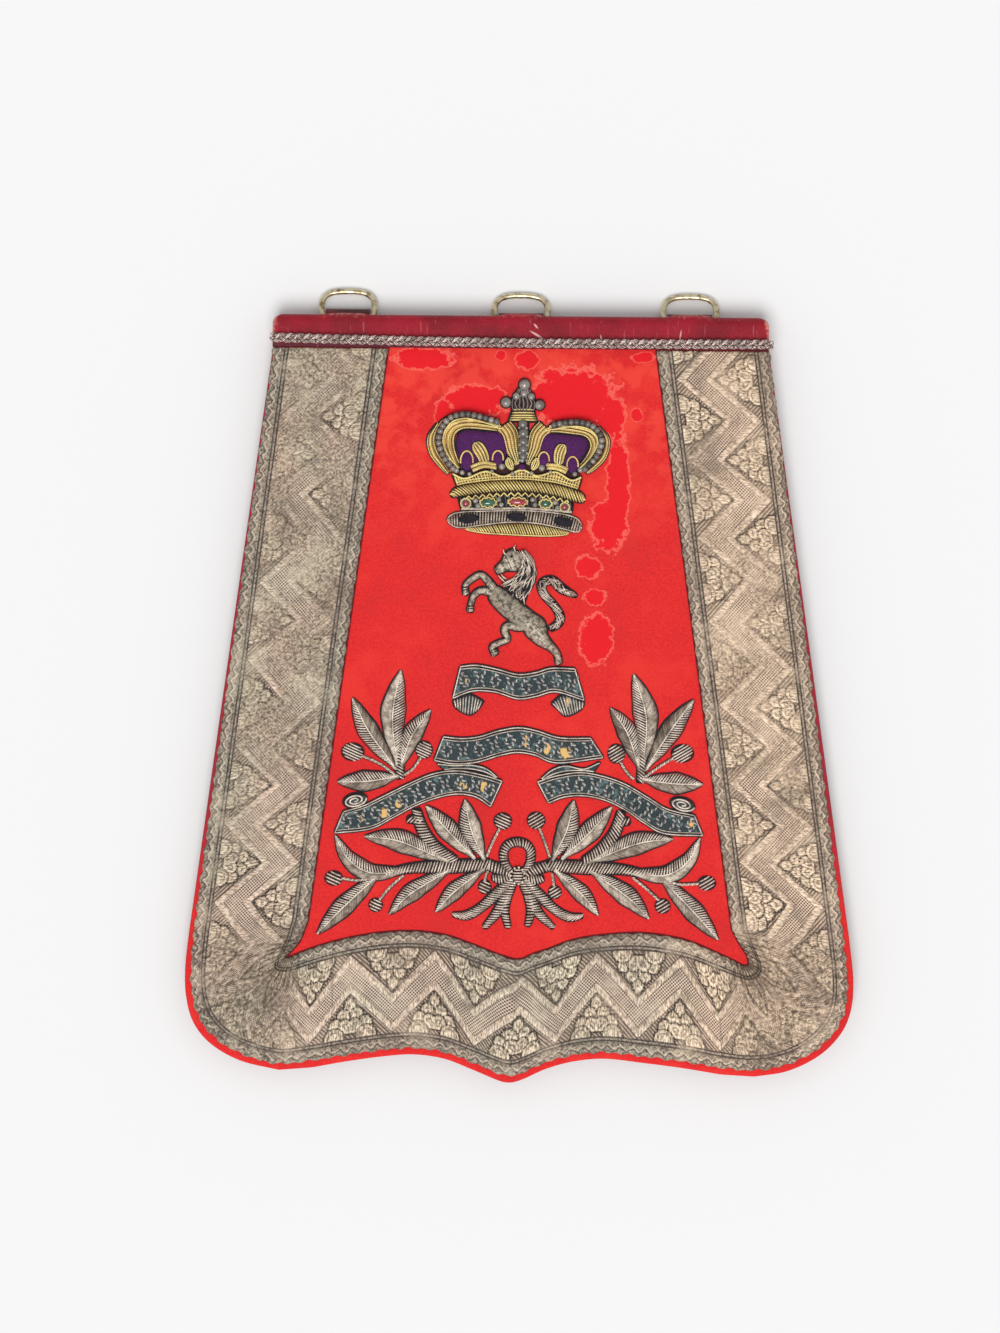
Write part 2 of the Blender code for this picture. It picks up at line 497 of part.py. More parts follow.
def build_crown():
    cushion("crown_cross", [Vector(p) for p in CROSS_OUTLINE], TRIM_BASE, 3, "silver_wire", part)
    cushion("crown_cap_left", [Vector(p) for p in LEFT_CAP], TRIM_BASE, 2.6, "purple_velvet", part)
    cushion("crown_cap_right", [Vector(p) for p in RIGHT_CAP], TRIM_BASE, 2.6, "purple_velvet", part)
    for name, edges, section, height, look in (
            ("crown_arch_left", LEFT_ARCH, ROLL, 3.2, "gold_wire"),
            ("crown_arch_right", RIGHT_ARCH, ROLL, 3.2, "gold_wire"),
            ("crown_arch_middle", MIDDLE_ARCH, ROLL, 3.4, "gold_wire"),
            ("crown_rim", CROWN_RIM, FLAT, 2.0, "gold_wire"),
            ("crown_roll", CROWN_ROLL, ROLL, 3.2, "gold_wire"),
            ("crown_jewel_band", JEWEL_BAND, FLAT, 1.6, "silver_wire"),
            ("crown_ermine", ERMINE, ROLL, 3.0, "silver_wire"),
            ("crown_foot", CROWN_FOOT, ROLL, 1.6, "gold_wire")):
        level_strip(name, edges, section, TRIM_BASE, height, 2, look, part)
    for name, centre, radii, look in JEWELS:
        dome(name, centre, radii, 0, TRIM_BASE + 1.6 + GAP, 1.8, look, part)


# A padded roll along a spine, a little lower at its two ends.
def roll(name, spine, widths, base, height, steps, look, collection):
    edges = spine_edges(spine, widths, steps)
    last = len(edges[0]) - 1
    heights = [height * (0.62 if i in (0, last) else 1) for i in range(last + 1)]
    return strip(name, edges, ROLL, base, heights, look, collection)


def build_horse():
    level_strip("horse_head", HORSE_HEAD, ROLL, TRIM_BASE, 2.6, 2, "silver_wire", part)
    level_strip("horse_mane", HORSE_MANE, ROLL, TRIM_BASE, 3.2, 2, "silver_wire", part)
    body = level_strip("horse_body", HORSE_BODY, ROLL, TRIM_BASE, 3.2, 1, "silver_wire", part)
    legs = [roll(f"leg_{i}", *leg, TRIM_BASE + 0.02 * (i + 1), 1.9, 1, "silver_wire", helpers)
            for i, leg in enumerate(HORSE_LEGS)]
    combine(body, legs, "UNION")
    roll("horse_tail", *HORSE_TAIL, TRIM_BASE, 2.2, 1, "silver_wire", part)


def build_scrolls():
    for name, edges in SCROLLS.items():
        small = "curl" in name or "fold" in name
        level_strip(name, edges, FLAT, TRIM_BASE, 1.2 if small else 1.5, 2, "teal_silk", part)
    for name, centre, radii, turn in CURLS:
        dome(name, centre, radii, turn, TRIM_BASE, 1.4, "teal_silk", part)


# A leaf swells from its tip to the middle and narrows again to the foot on its stem.
def leaf(name, spine, width, base, collection):
    line = smooth(spine, 3)
    widths, heights = [], []
    for i in range(len(line)):
        t = i / (len(line) - 1)
        swell = math.sin(math.pi * t ** 0.85) ** 0.8
        widths.append(max(width * swell, LEAF_TIP if t < 0.5 else LEAF_FOOT))
        heights.append(LEAF_HEIGHT * (0.45 + 0.55 * swell))
    return strip(name, spine_edges(line, widths, 1), LEAF, base, heights, "silver_wire", collection)


def build_laurel():
    for name, (leaves, stems) in SPRAYS.items():
        stem = roll(name, *stems[-1], TRIM_BASE, 2, 1, "silver_wire", part)
        joined = [leaf(f"{name}_leaf_{i}", *drawn, TRIM_BASE + 0.02 * (i + 1), helpers)
                  for i, drawn in enumerate(leaves)]
        joined += [roll(f"{name}_twig_{i}", *twig, TRIM_BASE - 0.02, 1.5, 1, "silver_wire", helpers)
                   for i, twig in enumerate(stems[:-1])]
        combine(stem, joined, "UNION")
    for i, (x, down, wide, long) in enumerate(BERRIES):
        dome(f"berry_{i + 1}", (x, down), (wide, long), 0, TRIM_BASE, 2.2, "silver_wire", part)


def build_bow():
    knot = dome("bow", *BOW_KNOT, 0, TRIM_BASE, 3.4, "silver_wire", part)
    strands = [roll(f"bow_strand_{i}", *strand, TRIM_BASE + 0.02 * (i + 1), 2, 1, "silver_wire", helpers)
               for i, strand in enumerate(BOW_STRANDS)]
    combine(knot, strands, "UNION")


clear_scene()
part = new_collection("sabretache")
helpers = new_collection("helpers")
looks = {name: make_look(name) for name in LOOKS}
build_board()
build_pocket()
build_lace()
build_band()
build_cord()
build_slings()
build_crown()
build_horse()
build_scrolls()
build_laurel()
build_bow()
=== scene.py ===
import math

import bpy
import numpy as np
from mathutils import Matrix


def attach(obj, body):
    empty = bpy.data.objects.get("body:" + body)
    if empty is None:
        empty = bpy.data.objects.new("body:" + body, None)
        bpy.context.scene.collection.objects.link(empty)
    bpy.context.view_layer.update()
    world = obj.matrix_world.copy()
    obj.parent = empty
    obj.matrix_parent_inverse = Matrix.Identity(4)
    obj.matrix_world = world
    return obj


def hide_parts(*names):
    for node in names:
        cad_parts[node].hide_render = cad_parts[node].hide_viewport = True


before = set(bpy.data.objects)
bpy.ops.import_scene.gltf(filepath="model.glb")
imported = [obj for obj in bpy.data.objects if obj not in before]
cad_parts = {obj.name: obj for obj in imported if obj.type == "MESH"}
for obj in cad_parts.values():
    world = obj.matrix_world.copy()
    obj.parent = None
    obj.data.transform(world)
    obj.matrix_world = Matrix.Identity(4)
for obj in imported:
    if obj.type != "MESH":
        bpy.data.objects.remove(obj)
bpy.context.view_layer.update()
print("frame loaded")

mm = 0.001
drawingCentre = (1.85, 163.7)   # the point of the drawing that lies over the part's origin
clothLevel = 13.4               # top of the cloth
stitchLevel = 13.3              # where padded work meets the cloth, just inside its nap
fineWire = 0.3                  # radii of the embroidery's wires
plainWire = 0.34
boldWire = 0.4
body = "pouch"
rng = np.random.default_rng(1815)


# Shapes shared by the pieces

# Millimetres on the drawing (x, down, level) to metres in the part.
def toPart(spots):
    spots = np.asarray(spots, float)
    x = spots[..., 0] - drawingCentre[0]
    y = drawingCentre[1] - spots[..., 1]
    return np.stack([x, y, spots[..., 2]], -1) * mm


# A smooth line through points: cubics whose end slopes are half the step between the neighbours.
def smoothLine(points, perSpan=12):
    points = np.asarray(points, float)
    ends = np.vstack([2 * points[0] - points[1], points, 2 * points[-1] - points[-2]])
    t = (np.arange(perSpan) / perSpan)[None, :, None]
    p0, p1, p2, p3 = (ends[i:len(ends) - 3 + i, None, :] for i in range(4))
    spans = 0.5 * (2 * p1 + (p2 - p0) * t + (2 * p0 - 5 * p1 + 4 * p2 - p3) * t ** 2
                   + (3 * p1 - p0 - 3 * p2 + p3) * t ** 3)
    return np.vstack([spans.reshape(-1, points.shape[1]), points[-1]])


# Length along a line up to each of its points.
def runLength(line):
    steps = np.linalg.norm(np.diff(line[:, :2], axis=0), axis=1)
    return np.concatenate([[0], np.cumsum(steps)])


# Points at given shares (0 to 1) of a line's length.
def along(line, shares):
    run = runLength(line)
    wanted = np.clip(shares, 0, 1) * run[-1]
    return np.stack([np.interp(wanted, run, line[:, k]) for k in range(line.shape[1])], -1)


# A line redrawn with evenly spaced points.
def evenLine(line, count):
    return along(line, np.linspace(0, 1, count))


# The unit vector square to a line in the plane, at each of its points.
def squareTo(line):
    ahead = np.gradient(line[:, :2], axis=0)
    ahead /= np.linalg.norm(ahead, axis=1, keepdims=True) + 1e-9
    return np.stack([-ahead[:, 1], ahead[:, 0]], -1)


# A line moved sideways by an amount.
def beside(line, amount):
    return line[:, :2] + squareTo(line) * amount


# The two edges of a strip that follows a spine, as wide as listed at each of the spine's points.
def edgesOf(spine, widths, count=60):
    line = evenLine(smoothLine(np.column_stack([spine, widths])), count)
    return beside(line, line[:, 2:3] / 2), beside(line, -line[:, 2:3] / 2)


# Quads of a grid of rows by columns, wrapped round where asked.
def gridQuads(rows, columns, wrapRows=False, wrapColumns=False):
    r = np.arange(rows if wrapRows else rows - 1)[:, None]
    c = np.arange(columns if wrapColumns else columns - 1)[None, :]
    rNext = (r + 1) % rows
    cNext = (c + 1) % columns
    corners = (r * columns + c, r * columns + cNext, rNext * columns + cNext, rNext * columns + c)
    return np.stack([np.broadcast_to(k, (len(r), c.shape[1])).ravel() for k in corners], -1)


# Faces of closed tubes, one after another: quads between a tube's rings and a cap on both ends.
def tubeFaces(count, around, tubes=1):
    cap = np.arange(around)[None]
    blocks = [gridQuads(count, around, wrapColumns=True), cap[:, ::-1], cap + (count - 1) * around]
    starts = (np.arange(tubes) * count * around)[:, None, None]
    return [(block[None] + starts).reshape(-1, block.shape[1]) for block in blocks]


# A slow unevenness: four long waves laid at different angles.
def unevenness(x, down, size):
    waves = ((0.061, 0.023, 0.4), (0.017, -0.071, 1.9), (-0.094, 0.052, 3.1), (0.113, 0.127, 5.2))
    return size * sum(np.sin(a * x + b * down + c) for a, b, c in waves) / len(waves)


# A ridge: 1 on the line and 0 at the given half-width and beyond.
def ridge(distance, half):
    return np.clip(1 - np.abs(distance) / half, 0, 1)


# The volume enclosed by faces, each fanned into triangles that make wedges with the origin.
def enclosedVolume(spots, faces):
    total = 0.0
    for block in faces:
        for k in range(1, block.shape[1] - 1):
            a, b, c = spots[block[:, 0]], spots[block[:, k]], spots[block[:, k + 1]]
            total += np.einsum("ij,ij->", a, np.cross(b, c))
    return total


# Puts arrays into a mesh object that rides on a body; its faces are turned outward.
def addPiece(name, spots, faces, material, replaced=(), marks=None, rides=body, slot=None):
    spots = np.asarray(spots, float).reshape(-1, 3)
    if enclosedVolume(spots, faces) < 0:
        faces = [block[:, ::-1] for block in faces]
    sizes = np.concatenate([np.full(len(block), block.shape[1]) for block in faces])
    corners = np.concatenate([block.ravel() for block in faces])
    mesh = bpy.data.meshes.new(name)
    mesh.vertices.add(len(spots))
    mesh.vertices.foreach_set("co", spots.ravel())
    mesh.loops.add(len(corners))
    mesh.loops.foreach_set("vertex_index", corners)
    mesh.polygons.add(len(sizes))
    mesh.polygons.foreach_set("loop_start", np.cumsum(sizes) - sizes)
    mesh.update(calc_edges=True)
    mesh.shade_smooth()
    for mark, values in (marks or {}).items():
        layer = mesh.attributes.new(mark, "FLOAT", "POINT")
        layer.data.foreach_set("value", np.asarray(values, float).ravel())
    mesh.materials.append(material)
    piece = bpy.data.objects.new(name, mesh)
    bpy.context.scene.collection.objects.link(piece)
    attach(piece, rides)
    if replaced:
        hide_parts(*replaced)
    return piece


# Several closed shapes gathered into one mesh.
class Gathered:
    def __init__(self):
        self.spots, self.faces, self.marks, self.size = [], [], {}, 0

    # spots are in part metres; marks give each point a number for the material to read.
    def add(self, spots, faces, **marks):
        self.faces += [np.asarray(block) + self.size for block in faces]
        self.spots.append(spots.reshape(-1, 3))
        for mark, values in marks.items():
            self.marks.setdefault(mark, []).append(np.asarray(values, float).ravel())
        self.size += len(self.spots[-1])

    # Tubes round many paths at once, (count, points, 3) on the drawing: at each point stands a ring,
    # square to the path. The radius may vary by path and by point.
    def lay(self, paths, radius, sides=6, shade=None):
        paths = np.asarray(paths, float)
        if paths.ndim == 2:
            paths = paths[None]
        count, points = paths.shape[:2]
        placed = toPart(paths)
        ahead = np.gradient(placed, axis=1)
        ahead /= np.linalg.norm(ahead, axis=2, keepdims=True) + 1e-12
        side = np.stack([ahead[..., 1], -ahead[..., 0], np.zeros((count, points))], -1)
        side /= np.linalg.norm(side, axis=2, keepdims=True) + 1e-12
        lift = np.cross(side, ahead)
        radius = np.broadcast_to(np.asarray(radius, float), (count, points))[..., None, None] * mm
        angle = (np.arange(sides) + 0.5) * math.tau / sides - math.pi / 2
        ring = side[:, :, None] * np.cos(angle)[:, None] + lift[:, :, None] * np.sin(angle)[:, None]
        steps = np.linalg.norm(np.diff(paths, axis=1), axis=2)
        run = np.concatenate([np.zeros((count, 1)), np.cumsum(steps, axis=1)], 1)[..., None]
        grid = (count, points, sides)
        if shade is None:
            shade = rng.uniform(0.2, 0.8, count)
        self.add(placed[:, :, None] + ring * radius, tubeFaces(points, sides, count),
                 run=np.broadcast_to(run, grid), turn=np.broadcast_to(np.arange(sides) / sides, grid),
                 shade=np.broadcast_to(np.asarray(shade, float).reshape(-1, 1, 1), grid))

    # One wire along a line on the drawing, lifted to a level.
    def wire(self, line, level, radius, sides, shade):
        self.lay(lifted(line, level), radius, sides, shade)

    # A pad for wires to lie on, with the sizes that padStrip takes.
    def pad(self, first, second, *sizes, **more):
        self.add(*padStrip(first, second, *sizes, **more))

    # Everything gathered so far, as one object.
    def piece(self, name, material, replaced=(), rides=body, slot=None):
        marks = {mark: np.concatenate(values) for mark, values in self.marks.items()}
        return addPiece(name, np.vstack(self.spots), self.faces, material, replaced, marks, rides, slot)


# how wires rise over the padding: shares of the way across a strip, shares of its height
archRound = ([0, 0.08, 0.25, 0.5, 0.75, 0.92, 1], [0.05, 0.42, 0.84, 1, 0.84, 0.42, 0.05])
archFlat = ([0, 0.06, 0.14, 0.86, 0.94, 1], [0.1, 0.75, 1, 1, 0.75, 0.1])
archLeaf = ([0, 0.12, 0.28, 0.5, 0.72, 0.88, 1], [0.05, 0.6, 0.95, 0.45, 0.95, 0.6, 0.05])
archHalf = ([0, 0.15, 0.45, 0.75, 1], [0.45, 0.8, 0.97, 0.62, 0.03])   # from a rib out to an edge


# Wires side by side across a strip: each starts on one edge, ends on the other a little further along,
# and rises between them as the arch says.
def layAcross(first, second, pitch, lean=0.0, height=2.0, arch=archRound, points=6, level=stitchLevel,
              swell=None, jitter=0.06):
    length = (runLength(first)[-1] + runLength(second)[-1]) / 2
    count = max(int(length / pitch), 2)
    share = (np.arange(count) + 0.5 + rng.normal(0, jitter, count)) / count
    t = np.linspace(0, 1, points)
    if np.ndim(lean):
        lean = np.interp(share, np.linspace(0, 1, len(lean)), lean)[:, None]
    shares = np.clip(share[:, None] + lean / length * (t[None] - 0.5), 0, 1)
    a = along(first[:, :2], shares)
    b = along(second[:, :2], shares)
    flat = a + (b - a) * t[None, :, None]
    rise = np.interp(t, *arch)[None] * height
    if swell is not None:
        rise = rise * np.interp(shares, np.linspace(0, 1, len(swell)), swell)
    return np.dstack([flat, level + np.broadcast_to(rise, shares.shape)])


# Wires laid along a strip, each at its own share of the way across, wavering a little.
def layAlong(first, second, count, height=2.0, arch=archRound, points=40, level=stitchLevel, swell=None,
             waver=0.0, inside=0.06):
    across = np.linspace(inside, 1 - inside, count)
    t = np.linspace(0, 1, points)
    a = along(first[:, :2], t)[None]
    b = along(second[:, :2], t)[None]
    turns = rng.uniform(1, 3, (count, 1))
    drift = waver * np.sin(math.tau * (turns * t + rng.uniform(0, 1, (count, 1))))
    shares = np.clip(across[:, None] + drift, 0, 1)
    flat = a + (b - a) * shares[..., None]
    rise = np.interp(shares, *arch) * height
    if swell is not None:
        rise = rise * np.interp(t, np.linspace(0, 1, len(swell)), swell)[None]
    return np.dstack([flat, level + rise])


# A cord of two or more strands, each winding round a line as a screw winds round its axis.
def twisted(line, radius, pitch, level, strands=2, perTurn=8):
    line = evenLine(line, max(int(runLength(line)[-1] / pitch * perTurn), 6))
    side = squareTo(line)
    phase = runLength(line)[None] / pitch * math.tau + np.arange(strands)[:, None] * math.tau / strands
    flat = line[None, :, :2] + side[None] * (np.cos(phase) * radius)[..., None]
    if line.shape[1] > 2:
        level = level + line[None, :, 2]
    return np.dstack([flat, level + np.sin(phase) * radius])


# A pad under the wires: a closed strip between two edges, its top following the arch.
def padStrip(first, second, height, arch=archRound, across=7, level=stitchLevel - 0.2, swell=None):
    t = np.linspace(0, 1, across)
    count = len(first)
    flat = first[:, None, :2] + (second - first)[:, None, :2] * t[None, :, None]
    rise = np.broadcast_to(np.interp(t, *arch)[None] * height, (count, across)).copy()
    if swell is not None:
        rise *= np.interp(np.linspace(0, 1, count), np.linspace(0, 1, len(swell)), swell)[:, None]
    top = np.dstack([flat, level + 0.1 + rise])
    low = top[:, [-1, 0]].copy()
    low[..., 2] = level - 0.1
    return toPart(np.concatenate([top, low], 1)), tubeFaces(count, across + 2)


# A closed shell over an outline: loops at shares of the way from the centre to it, each at its own
# level; the first and last are closed by a fan to their middles.
def loopShell(outline, centre, steps):
    centre = np.asarray(centre, float)
    loops = []
    for share, level in steps:
        loop = centre + (outline[:, :2] - centre) * share
        height = level(loop) if callable(level) else np.full(len(loop), float(level))
        loops.append(np.column_stack([loop, height]))
    count = len(outline)
    middles = [[*centre, loops[0][:, 2].mean()], [*centre, loops[-1][:, 2].mean()]]
    spots = toPart(np.vstack([*loops, middles]))
    ring = np.arange(count)
    after = (ring + 1) % count
    first = len(steps) * count
    last = first - count
    low = np.stack([np.full(count, first), after, ring], -1)
    high = np.stack([np.full(count, first + 1), ring + last, after + last], -1)
    return spots, [gridQuads(len(steps), count, wrapColumns=True), low, high]


# A point of an oval: its own long and short directions turned by an angle and moved to the centre.
def onOval(centre, radii, turn, across, upward):
    c, s = math.cos(math.radians(turn)), math.sin(math.radians(turn))
    a, b = across * radii[0], upward * radii[1]
    return np.stack([centre[0] + a * c - b * s, centre[1] + a * s + b * c], -1)


# A domed oval: its level rises inward from the rim as a circle's arc does.
def domeShell(centre, radii, height, turn=0.0, level=stitchLevel - 0.2, sides=20, loops=7):
    angle = np.arange(sides) * math.tau / sides
    outline = onOval(centre, radii, turn, np.cos(angle), np.sin(angle))
    shares = np.cos(np.linspace(0, 0.94, loops) * math.pi / 2)
    steps = [(1.0, level)] + [(share, level + 0.2 + height * math.sqrt(1 - share ** 2)) for share in shares]
    return loopShell(outline, centre, steps)


# Parallel wires over a domed oval, each arching from rim to rim.
def layOval(centre, radii, height, turn, pitch, points=7, level=stitchLevel):
    count = max(int(2 * radii[1] / pitch), 3)
    offset = (np.arange(count) + 0.5) / count * 2 - 1
    offset = offset[:, None] * 0.97
    t = np.sin(np.linspace(-1, 1, points) * math.pi / 2)[None] * 0.98
    reach = np.sqrt(1 - offset ** 2) * t
    flat = onOval(centre, radii, turn, reach, np.broadcast_to(offset, reach.shape))
    rise = height * np.sqrt(np.clip(1 - offset ** 2 - reach ** 2, 0, 1))
    return np.dstack([flat, level + rise])


# A line round an oval.
def ovalLine(centre, radii, turn=0.0, start=0.0, end=1.0, points=40):
    angle = np.linspace(start, end, points) * math.tau
    return onOval(centre, radii, turn, np.cos(angle), np.sin(angle))


# A line lifted to a level, ready to be laid as a wire.
def lifted(line, level):
    line = np.asarray(line, float)
    return np.column_stack([line[:, :2], np.broadcast_to(level, len(line))])


# Widths that taper to a share of themselves at both ends of a wire.
def tapered(radius, points, tip=0.35, length=0.12):
    t = np.linspace(0, 1, points)
    return radius * np.clip(np.minimum(t, 1 - t) / length * (1 - tip) + tip, tip, 1)


# Materials

# A colour as seen in the photograph, 0 to 255, made linear.
def tone(red, green, blue):
    value = np.array([red, green, blue]) / 255
    value = np.where(value <= 0.04045, value / 12.92, ((value + 0.055) / 1.055) ** 2.4)
    return (*value.tolist(), 1.0)


# One material: makes nodes, joins them, and sets the finished values on the shader.
class Look:
    def __init__(self, name, **values):
        self.material = bpy.data.materials.new(name)
        self.material.use_nodes = True
        self.tree = self.material.node_tree
        self.shader = self.tree.nodes["Principled BSDF"]
        self.set(**values)

    def set(self, **values):
        for key, value in values.items():
            self.feed(self.shader.inputs[key], value)

    # Joins a node to a socket, or sets its value; three numbers for a colour are a tone.
    def feed(self, socket, value):
        if isinstance(value, bpy.types.NodeSocket):
            self.tree.links.new(value, socket)
        else:
            socket.default_value = tone(*value) if socket.type == "RGBA" and len(value) == 3 else value

    def node(self, kind, inputs=None, output=0, **settings):
        made = self.tree.nodes.new("ShaderNode" + kind)
        for key, value in settings.items():
            setattr(made, key, value)
        for key, value in (inputs or {}).items():
            self.feed(made.inputs[key], value)
        return made.outputs[output]

    def coords(self, scale=(1000, 1000, 1000), turn=0.0):
        place = self.node("TexCoord", output="Object")
        return self.node("Mapping", {"Vector": place, "Scale": scale, "Rotation": (0, 0, math.radians(turn))})

    def mark(self, name):
        return self.node("Attribute", output="Fac", attribute_name=name)

    def calc(self, operation, a, b=0.5, c=0.5):
        return self.node("Math", {0: a, 1: b, 2: c}, operation=operation)

    def times(self, a, b):
        return self.calc("MULTIPLY", a, b)

    # A value times a factor, plus an offset.
    def scaled(self, value, factor, offset):
        return self.calc("MULTIPLY_ADD", value, factor, offset)

    def noise(self, scale, detail=3.0, vector=None, roughness=0.5):
        inputs = {"Vector": vector or self.coords(), "Scale": scale, "Detail": detail, "Roughness": roughness}
        return self.node("TexNoise", inputs)

    # A value between two limits stretched to 0 to 1.
    def spread(self, value, low, high):
        return self.node("MapRange", {"Value": value, "From Min": low, "From Max": high},
                         interpolation_type="SMOOTHSTEP", clamp=True)

    def blend(self, share, a, b, kind="MIX"):
        return self.node("Mix", {0: share, 6: a, 7: b}, output=2, data_type="RGBA", blend_type=kind)

    # A colour laid over another where the mask says, as strongly as the share.
    def over(self, colour, mask, paint, share=None):
        if share is not None:
            mask = self.times(mask, share)
        return self.blend(mask, colour, paint)

    def bump(self, height, strength, distance=0.0005):
        return self.node("Bump", {"Height": height, "Strength": strength, "Distance": distance})

    # 1 inside an oval on the drawing, falling to 0 outside it; a noise added to the reach from its
    # centre makes its rim ragged.
    def oval(self, place, centre, radii, ragged=None, soft=0.2, turn=0.0):
        spot = (centre[0] - drawingCentre[0], drawingCentre[1] - centre[1], 0)
        flat = self.node("VectorMath", {0: place, 1: (1, 1, 0)}, operation="MULTIPLY")
        inputs = {"Vector": flat, "Location": spot, "Rotation": (0, 0, -math.radians(turn)),
                  "Scale": (radii[0], radii[1], 1)}
        local = self.node("Mapping", inputs, vector_type="TEXTURE")
        reach = self.node("VectorMath", {0: local}, output="Value", operation="LENGTH")
        if ragged:
            reach = self.calc("ADD", reach, ragged)
        return self.spread(reach, 1 + soft, 1 - soft)


# Metal thread: a bright core with the twist of its wrapping, dulled in patches by tarnish.
def threadLook(name, bright, dull, dark, roughness, patches=0.5, twist=0.9, grain=0.16):
    look = Look(name, Metallic=0.35)
    tarnish = look.spread(look.noise(grain, 4), 0.42, 0.66)
    fine = look.noise(1.3, 3, roughness=0.6)
    colour = look.blend(look.mark("shade"), dull, bright)
    colour = look.over(colour, tarnish, dark, patches)
    colour = look.blend(look.spread(fine, 0.32, 0.62), look.blend(0.32, colour, dark), colour)
    phase = look.calc("ADD", look.times(look.mark("run"), 1 / twist), look.mark("turn"))
    wrap = look.calc("SINE", look.times(phase, math.tau))
    look.set(**{"Base Color": colour, "Normal": look.bump(wrap, 0.55, 0.00012),
                "Roughness": look.scaled(tarnish, 0.2, roughness)})
    return look.material


silverThread = threadLook("silver_thread", (255, 241, 225), (198, 177, 157), (98, 80, 66),
                          roughness=0.34, patches=0.5, grain=0.3)
silverMatte = threadLook("silver_matt_thread", (240, 225, 206), (122, 105, 91), (80, 66, 55),
                         roughness=0.42, patches=0.6, grain=0.3)
silverFloss = threadLook("silver_floss", (252, 241, 218), (128, 114, 98), (52, 42, 36),
                         roughness=0.5, patches=0.75, grain=0.6)
goldThread = threadLook("gold_thread", (255, 238, 160), (255, 212, 128), (150, 98, 50),
                        roughness=0.36, patches=0.3)
goldSatin = threadLook("gold_satin", (255, 216, 130), (250, 200, 114), (136, 98, 54),
                       roughness=0.42, patches=0.3)
dullPurl = threadLook("dull_purl", (190, 184, 174), (70, 66, 66), (34, 32, 36),
                      roughness=0.24, patches=0.5, twist=0.6)
dullSilver = threadLook("dull_silver", (214, 212, 206), (84, 84, 86), (66, 64, 66),
                        roughness=0.34, patches=0.4, twist=0.6)


# Dark outline cord of the embroidery, partly painted shadow round its forms, and the padding seen between
# wires.
def makeDarkLooks():
    navy = Look("outline_cord", Roughness=0.85)
    colour = navy.blend(navy.spread(navy.noise(0.5, 3), 0.35, 0.7), (14, 18, 28), (44, 34, 42))
    navy.set(**{"Base Color": colour, "Normal": navy.bump(navy.noise(4, 2), 0.5, 0.0002)})
    yarn = Look("padding_yarn", Roughness=0.95)
    colour = yarn.blend(yarn.noise(1.5, 3), (40, 18, 18), (78, 42, 38))
    yarn.set(**{"Base Color": colour, "Normal": yarn.bump(yarn.noise(3, 3), 0.7, 0.0003)})
    return navy.material, yarn.material


navyCord, paddingYarn = makeDarkLooks()


# Cloth face

cloth = {
    "topLeft": (-108.5, 1.8), "topRight": (108.9, 1.8),
    "leftCorner": [(-145.3, 275), (-146.8, 290), (-146.4, 303), (-143, 315), (-135, 324.6), (-122, 331.8),
        (-105, 335.8)],
    "bottom": [(-90, 334.6), (-76, 332), (-60, 329.6), (-45, 328.4), (-31, 330.3), (-18, 335.2),
        (-7, 339.7), (-1.5, 340.6), (4.5, 338.8), (14, 334.4), (26, 331), (40, 329.6), (57, 331.3),
        (75, 333.5), (92, 336.2)],
    "rightCorner": [(107, 337), (122, 334.3), (136, 327.2), (145.5, 317.3), (149.8, 306.5), (150.6, 293),
        (148.6, 275)],
    "centre": (1.85, 170), "points": 520, "loops": 40, "wave": 0.22,
    # its edge in section, from below round to the face: share of the way from the centre, level
    "edge": [(0.4, 10.2), (0.99, 10.2), (0.998, 10.6), (1.0, 11.4), (1.0, 12.2), (0.997, 12.9),
        (0.992, 13.25)],
    # painted shade on the cloth's edge down the sides
    "shadedEdgeStart": (268, 50),   # the edge is darker from here up, fully so after that length
    # patches where the nap is rubbed bare: centre and half-size
    "worn": [(-20, 37, 14, 7), (23.5, 36, 19, 14), (44, 76, 5, 26), (40, 92, 8, 11), (31, 110.5, 5.4, 5),
        (34, 124, 4.6, 4), (34.6, 143, 7.4, 11), (-43, 18.6, 13, 5), (-8.6, 17, 2.4, 2),
        (3, 19, 5.4, 4), (52, 43, 2.4, 3), (54.6, 17.4, 5, 2.2), (-34, 44, 4, 7), (41, 44, 6, 9)],
}


# The outline of the face: straight sides, rounded corners and the point between two coves.
def faceOutline(count):
    line = np.vstack([[cloth["topLeft"]], smoothLine(cloth["leftCorner"]), smoothLine(cloth["bottom"]),
                      smoothLine(cloth["rightCorner"]), [cloth["topRight"]]])
    closed = np.vstack([line, line[:1]])
    return evenLine(closed, count + 1)[:-1]


